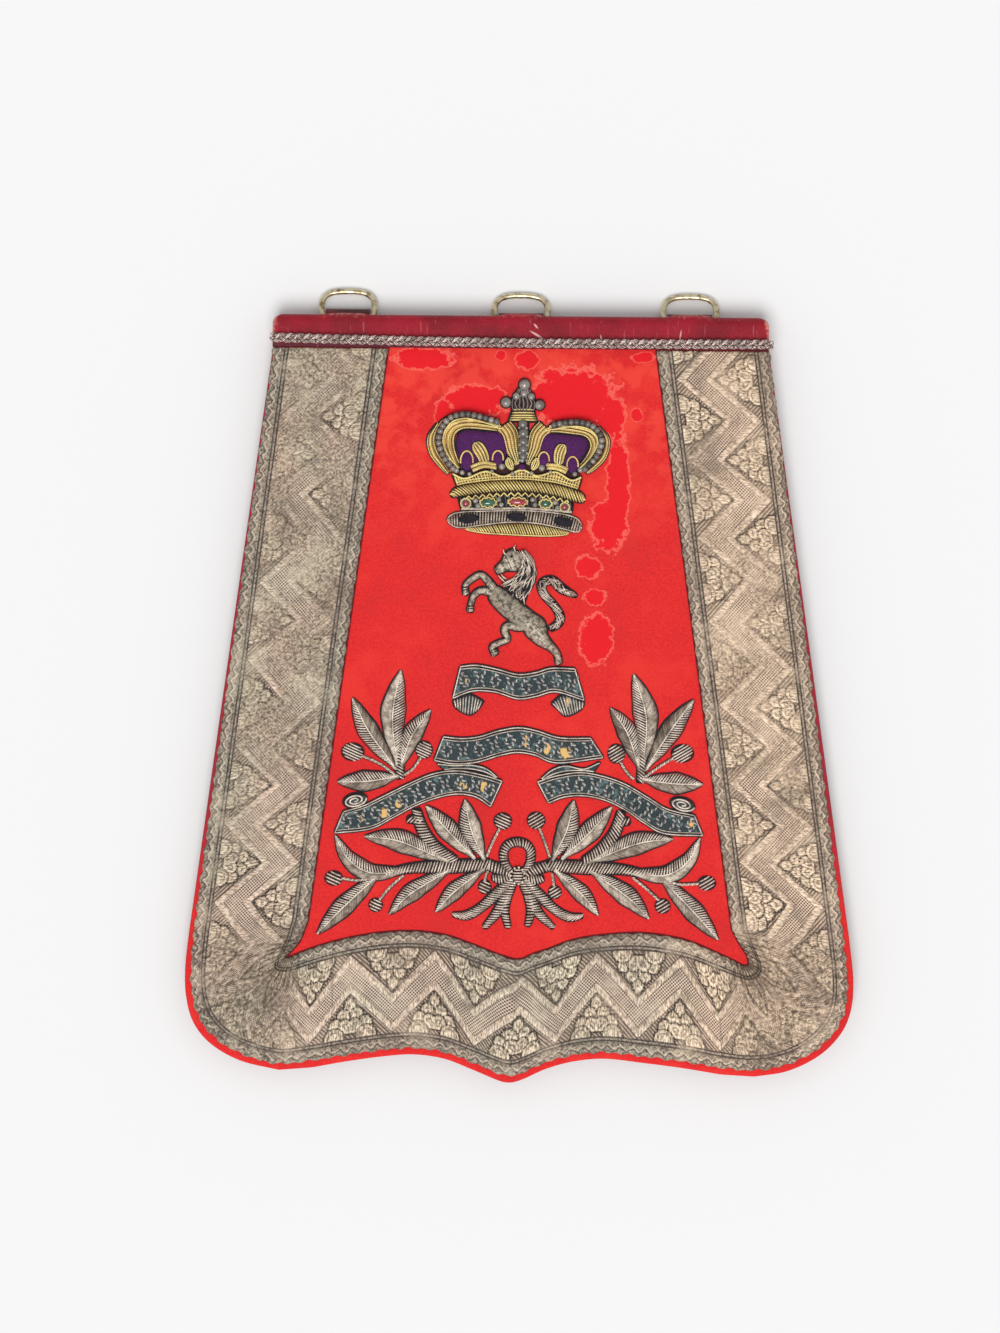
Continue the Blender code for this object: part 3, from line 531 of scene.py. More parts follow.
# Scarlet cloth: nap in slow patches, paler and rubbed towards the top, and bare where the ovals lie,
# with pale rims round them.
def clothLook():
    look = Look("scarlet_cloth", Roughness=0.92)
    place = look.coords()
    wander = look.scaled(look.noise(0.22, 5, roughness=0.65), 1.5, -0.75)
    worn = None
    for x, down, wide, tall in cloth["worn"]:
        patch = look.oval(place, (x, down), (wide, tall), wander, 0.14)
        worn = look.calc("MAXIMUM", worn, patch) if worn else patch
    nap = look.noise(0.9, 6, roughness=0.7)
    broad = look.noise(0.035, 4, roughness=0.6)
    fibre = look.noise(3.2, 4, look.coords((1000, 260, 1000)), 0.7)
    colour = look.blend(look.spread(nap, 0.3, 0.7), (205, 22, 24), (235, 42, 40))
    colour = look.over(colour, look.spread(broad, 0.5, 0.68), (236, 52, 42), 0.55)
    colour = look.over(colour, look.spread(broad, 0.5, 0.34), (204, 32, 36), 0.5)
    upward = look.node("SeparateXYZ", {0: place}, output="Y")
    faded = look.times(look.spread(upward, 40, 130), look.spread(look.noise(0.11, 4), 0.42, 0.6))
    colour = look.over(colour, faded, (240, 68, 52), 0.7)
    bare = look.blend(look.spread(fibre, 0.3, 0.7), (222, 8, 22), (238, 18, 32))
    rim = look.times(worn, look.calc("SUBTRACT", 1.0, worn))
    colour = look.blend(worn, colour, bare)
    colour = look.over(colour, rim, (248, 112, 96), 2.8)
    # painted shade on the edge down the sides, where the rim mark says
    colour = look.over(colour, look.mark("rim"), (158, 36, 50))
    height = look.calc("ADD", look.times(nap, 0.6), look.times(fibre, 0.4))
    height = look.calc("SUBTRACT", height, look.times(worn, 0.6))
    look.set(**{"Base Color": colour, "Normal": look.bump(height, 0.25, 0.0003), "Sheen Weight": 0.05,
                "Sheen Roughness": 0.5, "Sheen Tint": (255, 120, 110)})
    return look.material


# The level of the cloth's surface, waved slowly.
def clothTop(loop):
    return clothLevel + unevenness(loop[:, 0], loop[:, 1], cloth["wave"])


# Loops from below out round the edge, then in over the face to the centre.
def makeCloth():
    steps = cloth["edge"] + [(share, clothTop) for share in np.linspace(0.984, 0.03, cloth["loops"])]
    outline = faceOutline(cloth["points"])
    spots, faces = loopShell(outline, cloth["centre"], steps)
    # painted shade on the rim down the sides, fading out towards the bottom
    rim = np.zeros(len(spots))
    rimLoops = len(cloth["edge"]) + 1
    start, length = cloth["shadedEdgeStart"]
    rim[:rimLoops * len(outline)] = np.tile(np.clip((start - outline[:, 1]) / length, 0, 1), rimLoops)
    piece = addPiece("cloth", spots, faces, clothLook(), ["cloth_face"], {"rim": rim}, slot="scarlet_cloth")


makeCloth()
print("cloth")


# Lace

lace = {
    "wide": [(-109.9, 14.4), (-142.5, 270), (-143.9, 285), (-143.8, 300), (-140.4, 312.6), (-133, 321.8),
        (-121.4, 328.6), (-106, 332.8), (-92, 331.6), (-76, 329), (-60, 326.6), (-45, 325.4),
        (-31, 327.2), (-18, 331.9), (-7, 336.4), (-1.5, 337.4), (5, 335.4), (14, 331.3), (26, 328),
        (40, 326.6), (57, 328.3), (75, 330.4), (92, 333), (107, 334), (121, 331.4), (134, 324.9),
        (143, 315.7), (147.1, 306), (147.8, 293), (146, 275), (110.7, 14.4)],
    "narrow": [(-59, 14.4), (-92.4, 269), (-95.6, 277.5), (-99, 282), (-101.4, 284.6), (-102.2, 285.6),
        (-101, 285.8), (-98, 284.6), (-90, 281.4), (-76, 277.3), (-60, 274.4), (-45, 273.6),
        (-31, 275.3), (-18, 279.6), (-7, 283.8), (1.5, 285.8), (8, 283.3), (15, 280.9), (26, 276.8),
        (40, 274.4), (57, 273.6), (75, 276.4), (89, 281.8), (98, 285.9), (101.4, 287.6),
        (103.4, 287.4), (103.9, 286), (103, 282.6), (99.6, 277.4), (96.4, 271.4), (60.6, 14.4)],
    "level": 13.5, "thick": 1.0, "width": 51.0, "rib": 2.9, "check": 5.8, "repeat": 36.5,
    "doubleLine": (5.3, 6.8),   # from either edge
    "dots": 1.5,                # pitch of the dotted lines
    "pointsAcross": 78, "rowStep": 0.64,
    # its three lengths, as shares of the run along the outer edge
    "lengths": {"lace_left": (0, 0.405), "lace_bottom": (0.405, 0.602), "lace_right": (0.602, 1)},
    "zigzag": (15.8, 35.2),   # how near its middle line comes to the outer edge and how far it goes
    # scales of a palmette from the hindmost forward: aside, up from the foot, half-width, arch height
    "scales": [(0, 12.2, 2.7, 5.8), (3.0, 9.2, 3.0, 3.9), (6.3, 5.0, 3.3, 4.2), (2.2, 4.6, 3.1, 4.0),
        (6.9, 0.4, 4.5, 4.6)],
    # where the zigzag meets the outer double line, as drawn points along the outer edge
    "apices": [(-113.6, 44.5), (-118.4, 81), (-122.8, 116.5), (-127.6, 153), (-132.2, 190), (-137, 226.7),
        (-141.4, 261.5), (-142.6, 307), (-122, 328.4), (-91.4, 331.5), (-54, 326), (-17.3, 332),
        (18, 329.8), (55.4, 328.2), (92.4, 333), (122, 331.2), (144.6, 312), (145.6, 263),
        (140.2, 228), (135.3, 191.5), (130.6, 154.5), (125.6, 118), (121, 82), (116.2, 46)],
    # where the gathers of each corner begin and end along the outer edge, and how slowly they set in
    "corners": [((-142.5, 268), (-92, 331.6)), ((92, 333), (146, 272))], "setIn": 14,
    # how much of the pattern is worn away by the distance down, on both sides
    "wornLeft": ([60, 190, 262], [0.8, 0.62, 0.12]),
    "wornRight": ([40, 120, 220, 262], [0.3, 0.56, 0.42, 0.16]),
}


# The length along a line up to the place nearest to a drawn point.
def runAt(line, spot):
    return runLength(line)[np.argmin(np.linalg.norm(line[:, :2] - np.asarray(spot), axis=1))]


# An edge of the lace: the sides are straight, so only the corners and the bottom are smoothed.
def laceEdge(points):
    middle = smoothLine(points[1:-1], 8)
    left = np.linspace(points[0], middle[0], 60)[:-1]
    right = np.linspace(middle[-1], points[-1], 60)[1:]
    return np.vstack([left, middle, right])


# The pattern as distances in millimetres, for relief and material: v is the way across from the outer
# edge, p the way from one outer apex (0) to the next (1). The zigzag is a triangle wave of p. In each
# triangle stands a palmette of scales; a scale is half an oval on straight sides, over those behind it.
def laceWeave(v, p):
    width, pitch = lace["width"], lace["repeat"]
    low, high = lace["zigzag"]
    fold = 1 - np.abs(2 * p - 1)                            # 0 at the outer apices, 1 at the inner ones
    lean = 1 / math.hypot(1, (high - low) / (pitch / 2))
    band = np.abs(v - (low + fold * (high - low))) * lean   # from the zigzag's middle line
    petal = np.full_like(v, -2.0)
    for centre, foot, way in ((0.5, 7.4, 1), (0.0, width - 7.4, -1)):
        across = np.abs((p - centre + 0.5) % 1 - 0.5) * pitch   # along the lace, from the palmette's axis
        up = (v - foot) * way
        for aside, rise, half, tall in lace["scales"]:
            inside = half - np.hypot(across - aside, np.maximum(up - rise, 0) * half / tall)
            inside = np.minimum(inside, up - rise + 3)
            behind = np.where(petal > 0, np.minimum(petal, -inside), np.maximum(petal, inside))
            petal = np.where(inside > 0, inside, behind)
    return band, np.minimum(petal, band - lace["check"] / 2 - lace["rib"] - 0.5)


# The relief: rounded ribs, puffed scales with a groove round them, and the double line sunk.
def laceRelief(v, band, petal):
    edge = np.minimum(v, lace["width"] - v)
    field = np.clip((edge - 6.9) / 0.5, 0, 1)
    ribs = ridge(band - lace["check"] / 2 - lace["rib"] / 2, lace["rib"] / 2) ** 0.5
    puff = np.clip(petal / 1.2, 0, 1) ** 0.6 - 0.5 * ridge(petal, 0.8)
    lines = sum(ridge(edge - line, 0.5) for line in lace["doubleLine"])
    return field * (0.3 * ribs + 0.36 * puff) - 0.2 * lines + 0.16 * ridge(edge - 2.6, 2.4)


# Woven silver: every part of the pattern is painted where its distance on the mesh says it lies.
def laceLook():
    look = Look("silver_lace", Metallic=0.25, Roughness=0.5)
    run, way, fade = look.mark("run"), look.mark("way"), look.mark("fade")
    band, petal, foldShading = look.mark("band"), look.mark("petal"), look.mark("foldShading")
    weave = look.node("CombineXYZ", {"X": run, "Y": way, "Z": 0.0})
    edge = look.calc("MINIMUM", way, look.calc("SUBTRACT", lace["width"], way))
    mottle = look.noise(0.75, 5, roughness=0.75)

    # 1 where a distance is within the half-width of a place
    def near(distance, place, half, soft=0.14):
        off = look.calc("ABSOLUTE", look.calc("SUBTRACT", distance, place))
        return look.spread(off, half + soft, max(half - soft, 0.0))

    def wave(value, period, shift=0.0):
        return look.calc("SINE", look.scaled(value, math.tau / period, shift))

    # the ground: rows of thread with short dark floats between them
    rows = look.spread(wave(look.calc("ADD", way, run), 1.9), -0.7, 0.5)
    ground = look.blend(rows, (86, 72, 62), (188, 172, 156))
    lengthwise = look.node("Mapping", {"Vector": weave, "Scale": (0.55, 1.5, 1)})
    floats = look.spread(look.noise(1.0, 2, lengthwise), 0.5, 0.6)
    colour = look.blend(look.times(floats, 0.6), ground, (86, 74, 66))
    # scales, pale, streaked across the lace, with dotted lines round and inside them
    streak = look.noise(1.0, 3, look.node("Mapping", {"Vector": weave, "Scale": (1.5, 0.4, 1)}))
    scale = look.blend(look.spread(streak, 0.38, 0.6), (146, 130, 112), (242, 230, 210))
    colour = look.blend(look.spread(petal, -0.1, 0.15), colour, scale)
    dots = look.calc("MAXIMUM", wave(run, lace["dots"]), wave(way, lace["dots"], 0.8))
    dots = look.spread(dots, -0.1, 0.5)
    outline = look.calc("MAXIMUM", near(petal, -0.1, 0.42), look.times(near(petal, 1.7, 0.3), 0.6))
    colour = look.over(colour, look.times(outline, look.scaled(dots, 0.72, 0.34)), (44, 35, 30))
    # ribs of satin on both sides of the checked zigzag, with a dark line along them
    half, rib = lace["check"] / 2, lace["rib"]
    satin = look.blend(look.spread(streak, 0.36, 0.62), (150, 133, 118), (236, 222, 206))
    colour = look.blend(near(band, half + rib / 2, rib / 2), colour, satin)
    squares = look.spread(look.times(wave(run, lace["dots"]), wave(way, lace["dots"])), -0.15, 0.3)
    check = look.blend(squares, (214, 198, 182), (70, 58, 52))
    colour = look.blend(look.spread(band, half, half - 0.3), colour, check)
    seams = look.calc("MAXIMUM", look.times(near(band, half, 0.25), 0.6), near(band, half + rib + 0.1, 0.3))
    colour = look.over(colour, look.times(seams, look.scaled(dots, 0.45, 0.25)), (62, 52, 46))
    # worn places have lost most of the pattern
    plain = look.blend(look.spread(mottle, 0.4, 0.62), (104, 90, 78), (210, 194, 174))
    colour = look.blend(fade, plain, colour)
    # selvedges: grey, a thin light thread winding along them; then the double dark line
    ragged = look.scaled(look.noise(0.5, 3, weave), 2.4, 1.5)
    swing = look.calc("SUBTRACT", edge, look.scaled(wave(run, 5.6), 0.8, ragged))
    woven = look.blend(look.spread(mottle, 0.38, 0.6), (84, 76, 70), (178, 166, 152))
    woven = look.over(woven, look.times(near(swing, -0.85, 0.4), look.times(mottle, 1.3)), (48, 42, 38))
    woven = look.over(woven, look.times(near(swing, 0.0, 0.42), look.times(mottle, 1.3)), (210, 198, 182))
    colour = look.blend(look.spread(edge, 6.8, 7.3), woven, colour)
    lines = look.calc("MAXIMUM", *(near(edge, line, 0.36) for line in lace["doubleLine"]))
    colour = look.over(colour, lines, (50, 42, 38), 0.9)
    # creases: painted shade in their folds and painted highlight on their backs
    colour = look.over(colour, look.spread(foldShading, 0.1, 0.9), (74, 62, 52), 0.8)
    colour = look.over(colour, look.spread(foldShading, -0.1, -0.8), (226, 212, 188), 0.75)
    # slow clouds of tarnish and of brighter metal, a drift from warm to greenish grey, the right side a
    # little brighter, and stains of brown
    tint = look.blend(look.spread(look.noise(0.03, 3), 0.4, 0.6), (255, 243, 234), (250, 248, 238))
    cloud = look.noise(0.05, 6, roughness=0.7)
    colour = look.over(colour, look.spread(cloud, 0.5, 0.66), (98, 88, 78), 0.5)
    colour = look.over(colour, look.spread(cloud, 0.5, 0.34), (236, 222, 202), 0.3)
    side = look.spread(look.node("SeparateXYZ", {0: look.coords()}, output="X"), 50, 90)
    tint = look.blend(side, tint, (277, 262, 248))
    colour = look.blend(1.0, colour, tint, "MULTIPLY")
    brown = look.spread(look.noise(0.09, 5, roughness=0.7), 0.56, 0.7)
    colour = look.over(colour, brown, (128, 106, 96), 0.45)
    height = look.calc("ADD", look.times(rows, 0.35), look.times(squares, -0.3))
    height = look.calc("ADD", height, look.times(mottle, 0.9))
    height = look.calc("ADD", height, look.times(outline, -0.8))
    look.set(**{"Base Color": colour, "Normal": look.bump(height, 0.6, 0.0003)})
    return look.material


# How the lace gathers round a corner: folds run in from the inner edge, crossed near it by a ladder of
# short creases, and beyond them it is crumpled. Gives the lift and the painted shading of the creases:
# painted shade where it is above 0, painted highlight where below.
def laceGathers(run, t, x, down, corner):
    way = t * lace["width"]
    turned = corner * np.clip(t * 2.4 - 1.2, 0, 1)
    wander = 0.9 * np.sin(way / 6.1 + run / 9) + 0.5 * np.sin(way / 2.7 - run / 5)
    folds = np.sin((run + wander) * math.tau / 5.7) + 0.6 * np.sin((run - wander) * math.tau / 3.1)
    ripple = unevenness(x * 9 + wander * 9, down * 9, 1.0) + unevenness(down * 17, x * 13, 1.0)
    crumple = np.clip(1.0 - 3.2 * np.abs(ripple), -0.7, 1)
    ladder = ridge((lace["width"] - way + 0.5 * wander) % 4.2 - 2.1, 0.9) * (way > lace["width"] - 15)
    foldShading = turned * np.clip(-folds, -1, 1) + (corner - turned) * crumple
    foldShading = np.maximum(foldShading, corner * ladder * 0.75)
    lift = 0.12 * unevenness(x, down * 1.3, 1.0) + 0.3 * turned * folds
    return lift - 0.3 * (corner - turned) * crumple, foldShading


# How whole the pattern is, 1 being new: wear is most at the upper left, and comes in patches.
def laceWear(x, down, corner):
    patches = 0.5 + 0.9 * unevenness(x * 2.1, down * 2.1, 1.0) + 0.5 * unevenness(x * 6.3, down * 5.7, 1.0)
    most = np.where(x < 0, np.interp(down, *lace["wornLeft"]), np.interp(down, *lace["wornRight"]))
    return np.clip(1.15 - most * (0.62 + patches), 0.1, 1) * (1 - 0.5 * corner)


# A length of lace from one share of the run to another: rows of points across it, lifted by the
# weave and the gathers, rounded off at both edges and flat underneath.
def makeLace():
    wideLine = laceEdge(lace["wide"])
    narrowLine = laceEdge(lace["narrow"])
    matched = runLength(wideLine)
    stops = np.array([runAt(wideLine, spot) for spot in lace["apices"]])
    order = np.arange(len(stops))
    corners = [(runAt(wideLine, a), runAt(wideLine, b)) for a, b in lace["corners"]]
    material = laceLook()
    across = lace["pointsAcross"]
    for name, (start, end) in lace["lengths"].items():
        rows = int((end - start) * matched[-1] / lace["rowStep"])
        run = np.linspace(start, end, rows) * matched[-1]
        outer = np.stack([np.interp(run, matched, wideLine[:, k]) for k in range(2)], -1)
        inner = np.stack([np.interp(run, matched, narrowLine[:, k]) for k in range(2)], -1)
        place = np.interp(run, stops, order)
        place = np.where(run < stops[0], (run - stops[0]) / lace["repeat"], place)
        place = np.where(run > stops[-1], order[-1] + (run - stops[-1]) / lace["repeat"], place)
        p = np.broadcast_to((place % 1)[:, None], (rows, across))
        t = np.broadcast_to(np.linspace(0, 1, across)[None], (rows, across))
        way = t * lace["width"]
        runGrid = np.broadcast_to(run[:, None], (rows, across))
        band, petal = laceWeave(way, p)
        # the outer edge waves, and the inner one less so
        wave = 0.35 * np.sin(run * math.tau / 6.4) + 0.2 * np.sin(run * math.tau / 11.3 + 1)
        shift = wave[:, None] * (ridge(t, 0.06) - 0.6 * ridge(1 - t, 0.06))
        outward = outer - inner
        outward /= np.linalg.norm(outward, axis=1, keepdims=True)
        flat = outer[:, None] + (inner - outer)[:, None] * t[..., None] + outward[:, None] * shift[..., None]
        x, down = flat[..., 0], flat[..., 1]
        corner = sum(np.clip(np.minimum(run - a, b - run) / lace["setIn"], 0, 1) for a, b in corners)[:, None]
        lift, foldShading = laceGathers(runGrid, t, x, down, corner)
        fade = laceWear(x, down, corner)
        relief = laceRelief(way, band, petal) * (0.35 + 0.65 * fade)
        edge = np.minimum(t, 1 - t) * lace["width"]
        roundOff = 0.35 * np.clip(1 - edge / 1.2, 0, 1) ** 2
        grid = np.dstack([flat, lace["level"] + lace["thick"] + relief + lift - roundOff])
        low = grid[:, [-1, 0]].copy()
        low[..., 2] = lace["level"] - 0.1
        spots = toPart(np.concatenate([grid, low], 1))
        marks = {"run": runGrid, "way": way, "band": band, "petal": petal, "fade": fade, "foldShading": foldShading}
        marks = {mark: np.concatenate([values, values[:, [-1, 0]]], 1) for mark, values in marks.items()}
        piece = addPiece(name, spots, tubeFaces(rows, across + 2), material, ["lace_border"], marks,
                         slot="silver_lace")
    # painted shadow along the lace's inner edge: a dark red line laid on the cloth just inside it
    shadowLine = Gathered()
    shadowLine.wire(beside(evenLine(narrowLine, 900), -0.25), clothLevel + 0.2, 0.42, 5, 0.5)
    thread = Look("painted_edge_shadow", Roughness=0.9)
    thread.set(**{"Base Color": thread.blend(thread.noise(1, 3), (62, 8, 14), (122, 18, 28))})
    shadowLine.piece("lace_edge_shadow", thread.material, slot="scarlet_cloth")


makeLace()
print("lace")


# Leather: band, straps, backing and pocket

leather = {
    "section": [(14, 14.6), (13.9, 14.95), (13.4, 15.1), (8, 15.1), (3.5, 15.1), (2.4, 14.9), (1.4, 14.4),
        (0.6, 13.5), (0.15, 12.4), (0, 11.2), (0, 10.2), (0.1, 9.2), (0.5, 8.2), (1.3, 7.3),
        (2.4, 6.8), (3.5, 6.6), (11.6, 6.6), (12, 6.9), (12, 7.7), (11.6, 8), (2.8, 8), (1.9, 8.5),
        (1.5, 9.4), (1.5, 12.3), (1.9, 13.2), (2.8, 13.7), (13.6, 13.7), (14, 14)],
    "left": -110.2, "right": 110.4, "endRound": 5.0, "endDrop": 3.0,
    # how far the band bulges up over each strap, the half-width of the bulge, and its height elsewhere
    "bulge": {"left": 0.7, "centre": 1.1, "right": 1.1}, "bulgeHalf": 9.0, "raised": 0.8,
    # the backing board: its share of the face, its section as share and level, points round it
    "boardShare": 0.9945, "boardPoints": 360,
    "board": [(0.3, 9.9), (0.997, 9.9), (0.9995, 9.75), (1.0, 9.5), (1.0, 8.8), (0.9995, 8.45), (0.997, 8.3)],
    "pocket": [(92, 45), (109, 262), (107.5, 275), (98, 284), (84, 287)],
    # the pocket's wall, out from the floor, up, over the rim and down inside: inset, level and wear
    "wall": [(0.9, 0, 0.1), (0.3, 0.15, 0.3), (0, 0.6, 0.6), (0, 4, 0.1), (0, 7.4, 0.5), (0.25, 7.85, 0.6),
        (0.9, 8, 0.5), (1.5, 7.85, 0.3), (1.8, 7.4, 0), (1.8, 2.4, 0), (2, 1.75, 0), (2.6, 1.6, 0)],
}
cord = {
    "left": (-110.9, 10.2), "right": (111.9, 11.4), "sag": 0.9,
    "turns": 18, "pointsPerTurn": 26, "swing": 1.3, "level": 17.25, "dip": 0.66, "core": 0.8,
    # each strand is wound of four threads, light and dark by turns: their shades, windings and radii
    "shades": (1.0, 0.7, 0.95, 0.2), "windings": 84, "windRadius": 0.56, "threadRadius": 0.44,
}
rings = {
    "places": {"left": (-77.2, -1.0), "centre": (0.2, 0.2), "right": (75.7, 0.2)},
    "half": [(11.6, 0), (12.0, 3.6), (11.3, 7.2), (8.6, 9.9), (4.4, 11), (0, 11.2)],
    "wire": 1.3, "level": 3.6, "sides": 16,
    "strapHalf": 10.0, "strapThick": 1.3, "strapTail": 20.0, "gap": 0.3, "strapPoints": 15,
}


# Grained leather: a base colour rubbed paler on its turned edges, cracked and scuffed; on the band also
# painted shade below the plait.
def leatherLook(name, base, deep, rubbed, roughness, wear=1.0, scratchesAndShade=False):
    look = Look(name, Roughness=roughness)
    place = look.coords()
    broad = look.noise(0.06, 4)
    grain = look.node("TexVoronoi", {"Vector": place, "Scale": 1.15}, feature="DISTANCE_TO_EDGE")
    fine = look.noise(1.4, 5, roughness=0.65)
    colour = look.blend(look.spread(broad, 0.35, 0.65), deep, base)
    colour = look.over(colour, look.spread(fine, 0.55, 0.8), rubbed, 0.3)
    height = look.calc("ADD", look.times(look.spread(grain, 0.0, 0.25), 0.6), fine)
    rubs = look.mark("worn")
    torn = look.calc("ADD", rubs, look.scaled(look.noise(0.5, 5, roughness=0.7), 1.1, -0.62))
    colour = look.over(colour, look.spread(torn, 0.3, 0.75), rubbed, wear)
    if scratchesAndShade:
        look.set(**{"Specular IOR Level": 0.3})
        # painted shade on the band's lower edge, below the plait
        colour = look.over(colour, look.mark("under"), (84, 12, 32))
        scuff = look.noise(0.9, 3, look.coords((1000, 90, 1000)))
        colour = look.over(colour, look.spread(scuff, 0.62, 0.76), (205, 112, 122), 0.5)
        for centre, radii, turn in (((7.2, 7.9), (3.2, 0.45), 30), ((6.8, 4), (1.3, 0.4), 50),
                                    ((36, 10), (0.35, 2.2), -12), ((71, 8), (0.3, 2.6), 8)):
            scratch = look.oval(place, centre, radii, soft=0.4, turn=turn)
            colour = look.over(colour, scratch, (238, 190, 190), 0.8)
    look.set(**{"Base Color": colour, "Normal": look.bump(height, 0.35, 0.0003)})
    return look.material


moroccoBand = leatherLook("morocco_band", (158, 10, 36), (132, 6, 28), (222, 140, 128), 0.55, 0.85, True)
moroccoStrap = leatherLook("morocco_strap", (116, 32, 46), (78, 20, 32), (160, 84, 84), 0.5, 0.7)
moroccoBack = leatherLook("morocco_back", (142, 34, 46), (104, 24, 36), (170, 96, 80), 0.55, 0.6)


# The band: a section carried across in many steps. Its ends are drawn in to rounded corners, and it
# bulges up over each strap.
def makeBand():
    section = np.array(leather["section"])
    t = np.linspace(0, 1, 280)
    x = leather["left"] + (leather["right"] - leather["left"]) * t
    fromEnd = np.minimum(x - leather["left"], leather["right"] - x)
    nearEnd = 1 - np.clip(fromEnd / leather["endRound"], 0, 1)
    drawIn = leather["endDrop"] * (1 - np.sqrt(np.clip(1 - nearEnd ** 2, 0, 1)))
    bulge = np.zeros_like(x)
    for side, (centre, _) in rings["places"].items():
        bulge += np.exp(-((x - centre) / leather["bulgeHalf"]) ** 6) * leather["bulge"][side]
    down = np.broadcast_to(section[:, 0], (len(x), len(section))).copy()
    level = np.broadcast_to(section[:, 1], down.shape).copy()
    upper = np.clip(1 - down / 4.0, 0, 1)
    down += upper * (drawIn - bulge - leather["raised"])[:, None]
    level += np.clip(level - 14, 0, 1) * unevenness(x[:, None] * 2.3, down * 3, 0.1)
    spots = toPart(np.dstack([np.broadcast_to(x[:, None], down.shape), down, level]))
    # rubbed pale along the upper fold, most over the straps and at the ends; painted shade along the lower
    # edge, where the plait shades it
    worn = upper * (0.3 + 0.28 * (bulge > 0.35))[:, None] + ridge(fromEnd[:, None], 3.5) * 0.8
    worn = worn * (level > 9)
    marks = {"worn": worn, "under": np.clip(down - 11.6, 0, 1) * (level > 14)}
    addPiece("band", spots, tubeFaces(len(x), len(section)), moroccoBand, ["top_band"], marks,
             slot="crimson_leather")


# A strap: its two plies pass round the ring's bar; the section is a long U, carried across.
def makeStrap(name, x, down):
    gap, thick = rings["gap"], rings["strapThick"]
    inner = rings["wire"] + gap
    outer = inner + thick
    upper = rings["level"] + outer - thick - gap / 2
    tail = down + rings["strapTail"]
    turn = np.arange(1, 16) * math.pi / 16
    outside = np.column_stack([down - outer * np.sin(turn), rings["level"] + outer * np.cos(turn)])
    turn = turn[::-1]
    inside = np.column_stack([down - inner * np.sin(turn), rings["level"] + inner * np.cos(turn)])
    section = np.vstack([[(tail, upper + thick), (down + outer, upper + thick)], outside,
                         [(down + outer, rings["level"] - outer + 0.6),
                          (down + outer * 2, upper - gap - thick), (tail, upper - gap - thick),
                          (tail, upper - gap), (down + outer * 2, upper - gap),
                          (down + inner, rings["level"] - inner + 0.5)], inside,
                         [(down + inner, upper), (tail, upper)]])
    across = rings["strapHalf"] * np.sin(np.linspace(-1, 1, rings["strapPoints"]) * math.pi / 2)
    grid = np.broadcast_to(section[None], (len(across), *section.shape)).copy()
    # the outer faces, which are the section's first points, are rounded off at both edges
    faces = slice(1, 20)
    ease = np.clip((np.abs(across) - rings["strapHalf"] + 0.5) / 0.5, 0, 1)[:, None]
    grid[:, faces, 1] -= ease * 0.25 * np.sign(section[faces, 1] - section[:, 1].mean())[None]
    spots = np.dstack([np.broadcast_to(x + across[:, None], grid.shape[:2]), grid])
    worn = np.broadcast_to(np.abs(across)[:, None] / rings["strapHalf"] > 0.93, grid.shape[:2]) * 0.5
    addPiece("sling_" + name, toPart(spots), tubeFaces(len(across), len(section)), moroccoStrap,
             ["strap_" + name], {"worn": worn}, slot="crimson_leather")


# Nickel, stained brown in patches.
def ringLook():
    look = Look("nickel", Metallic=0.9)
    stain = look.spread(look.noise(0.35, 4), 0.45, 0.68)
    colour = look.blend(stain, (224, 211, 176), (140, 120, 84))
    look.set(**{"Base Color": colour, "Roughness": look.scaled(stain, 0.2, 0.28),
                "Normal": look.bump(look.noise(1.2, 4), 0.15, 0.0002)})
    return look.material


# A round wire bent to a closed D, its rings square to the path, drooping about the bar's axis.
def makeRing(name, x, down, material):
    half = np.vstack([[rings["half"][0]], smoothLine(rings["half"][1:], 10)])
    loop = np.vstack([half, half[-2::-1] * (-1, 1)])
    bar = np.linspace(loop[-1], loop[0], 12)[1:-1]
    path = np.vstack([loop, bar])
    ahead = np.roll(path, -1, 0) - np.roll(path, 1, 0)
    ahead /= np.linalg.norm(ahead, axis=1, keepdims=True)
    side = np.column_stack([ahead[:, 1], -ahead[:, 0]])
    angle = np.arange(rings["sides"]) * math.tau / rings["sides"]
    radius = rings["wire"]
    flat = path[:, None] + side[:, None] * (radius * np.cos(angle))[None, :, None]
    rise = np.broadcast_to(radius * np.sin(angle), flat.shape[:2])
    droop = -math.asin((rings["level"] - radius) / rings["half"][-1][1])
    y = flat[..., 1] * math.cos(droop) - rise * math.sin(droop)
    z = flat[..., 1] * math.sin(droop) + rise * math.cos(droop)
    spots = toPart(np.dstack([x + flat[..., 0], down - y, rings["level"] + z]))
    faces = [gridQuads(len(path), rings["sides"], wrapRows=True, wrapColumns=True)]
    addPiece("sling_loop_" + name, spots, faces, material, ["ring_" + name],
             rides="sling_ring_" + name, slot="nickel")


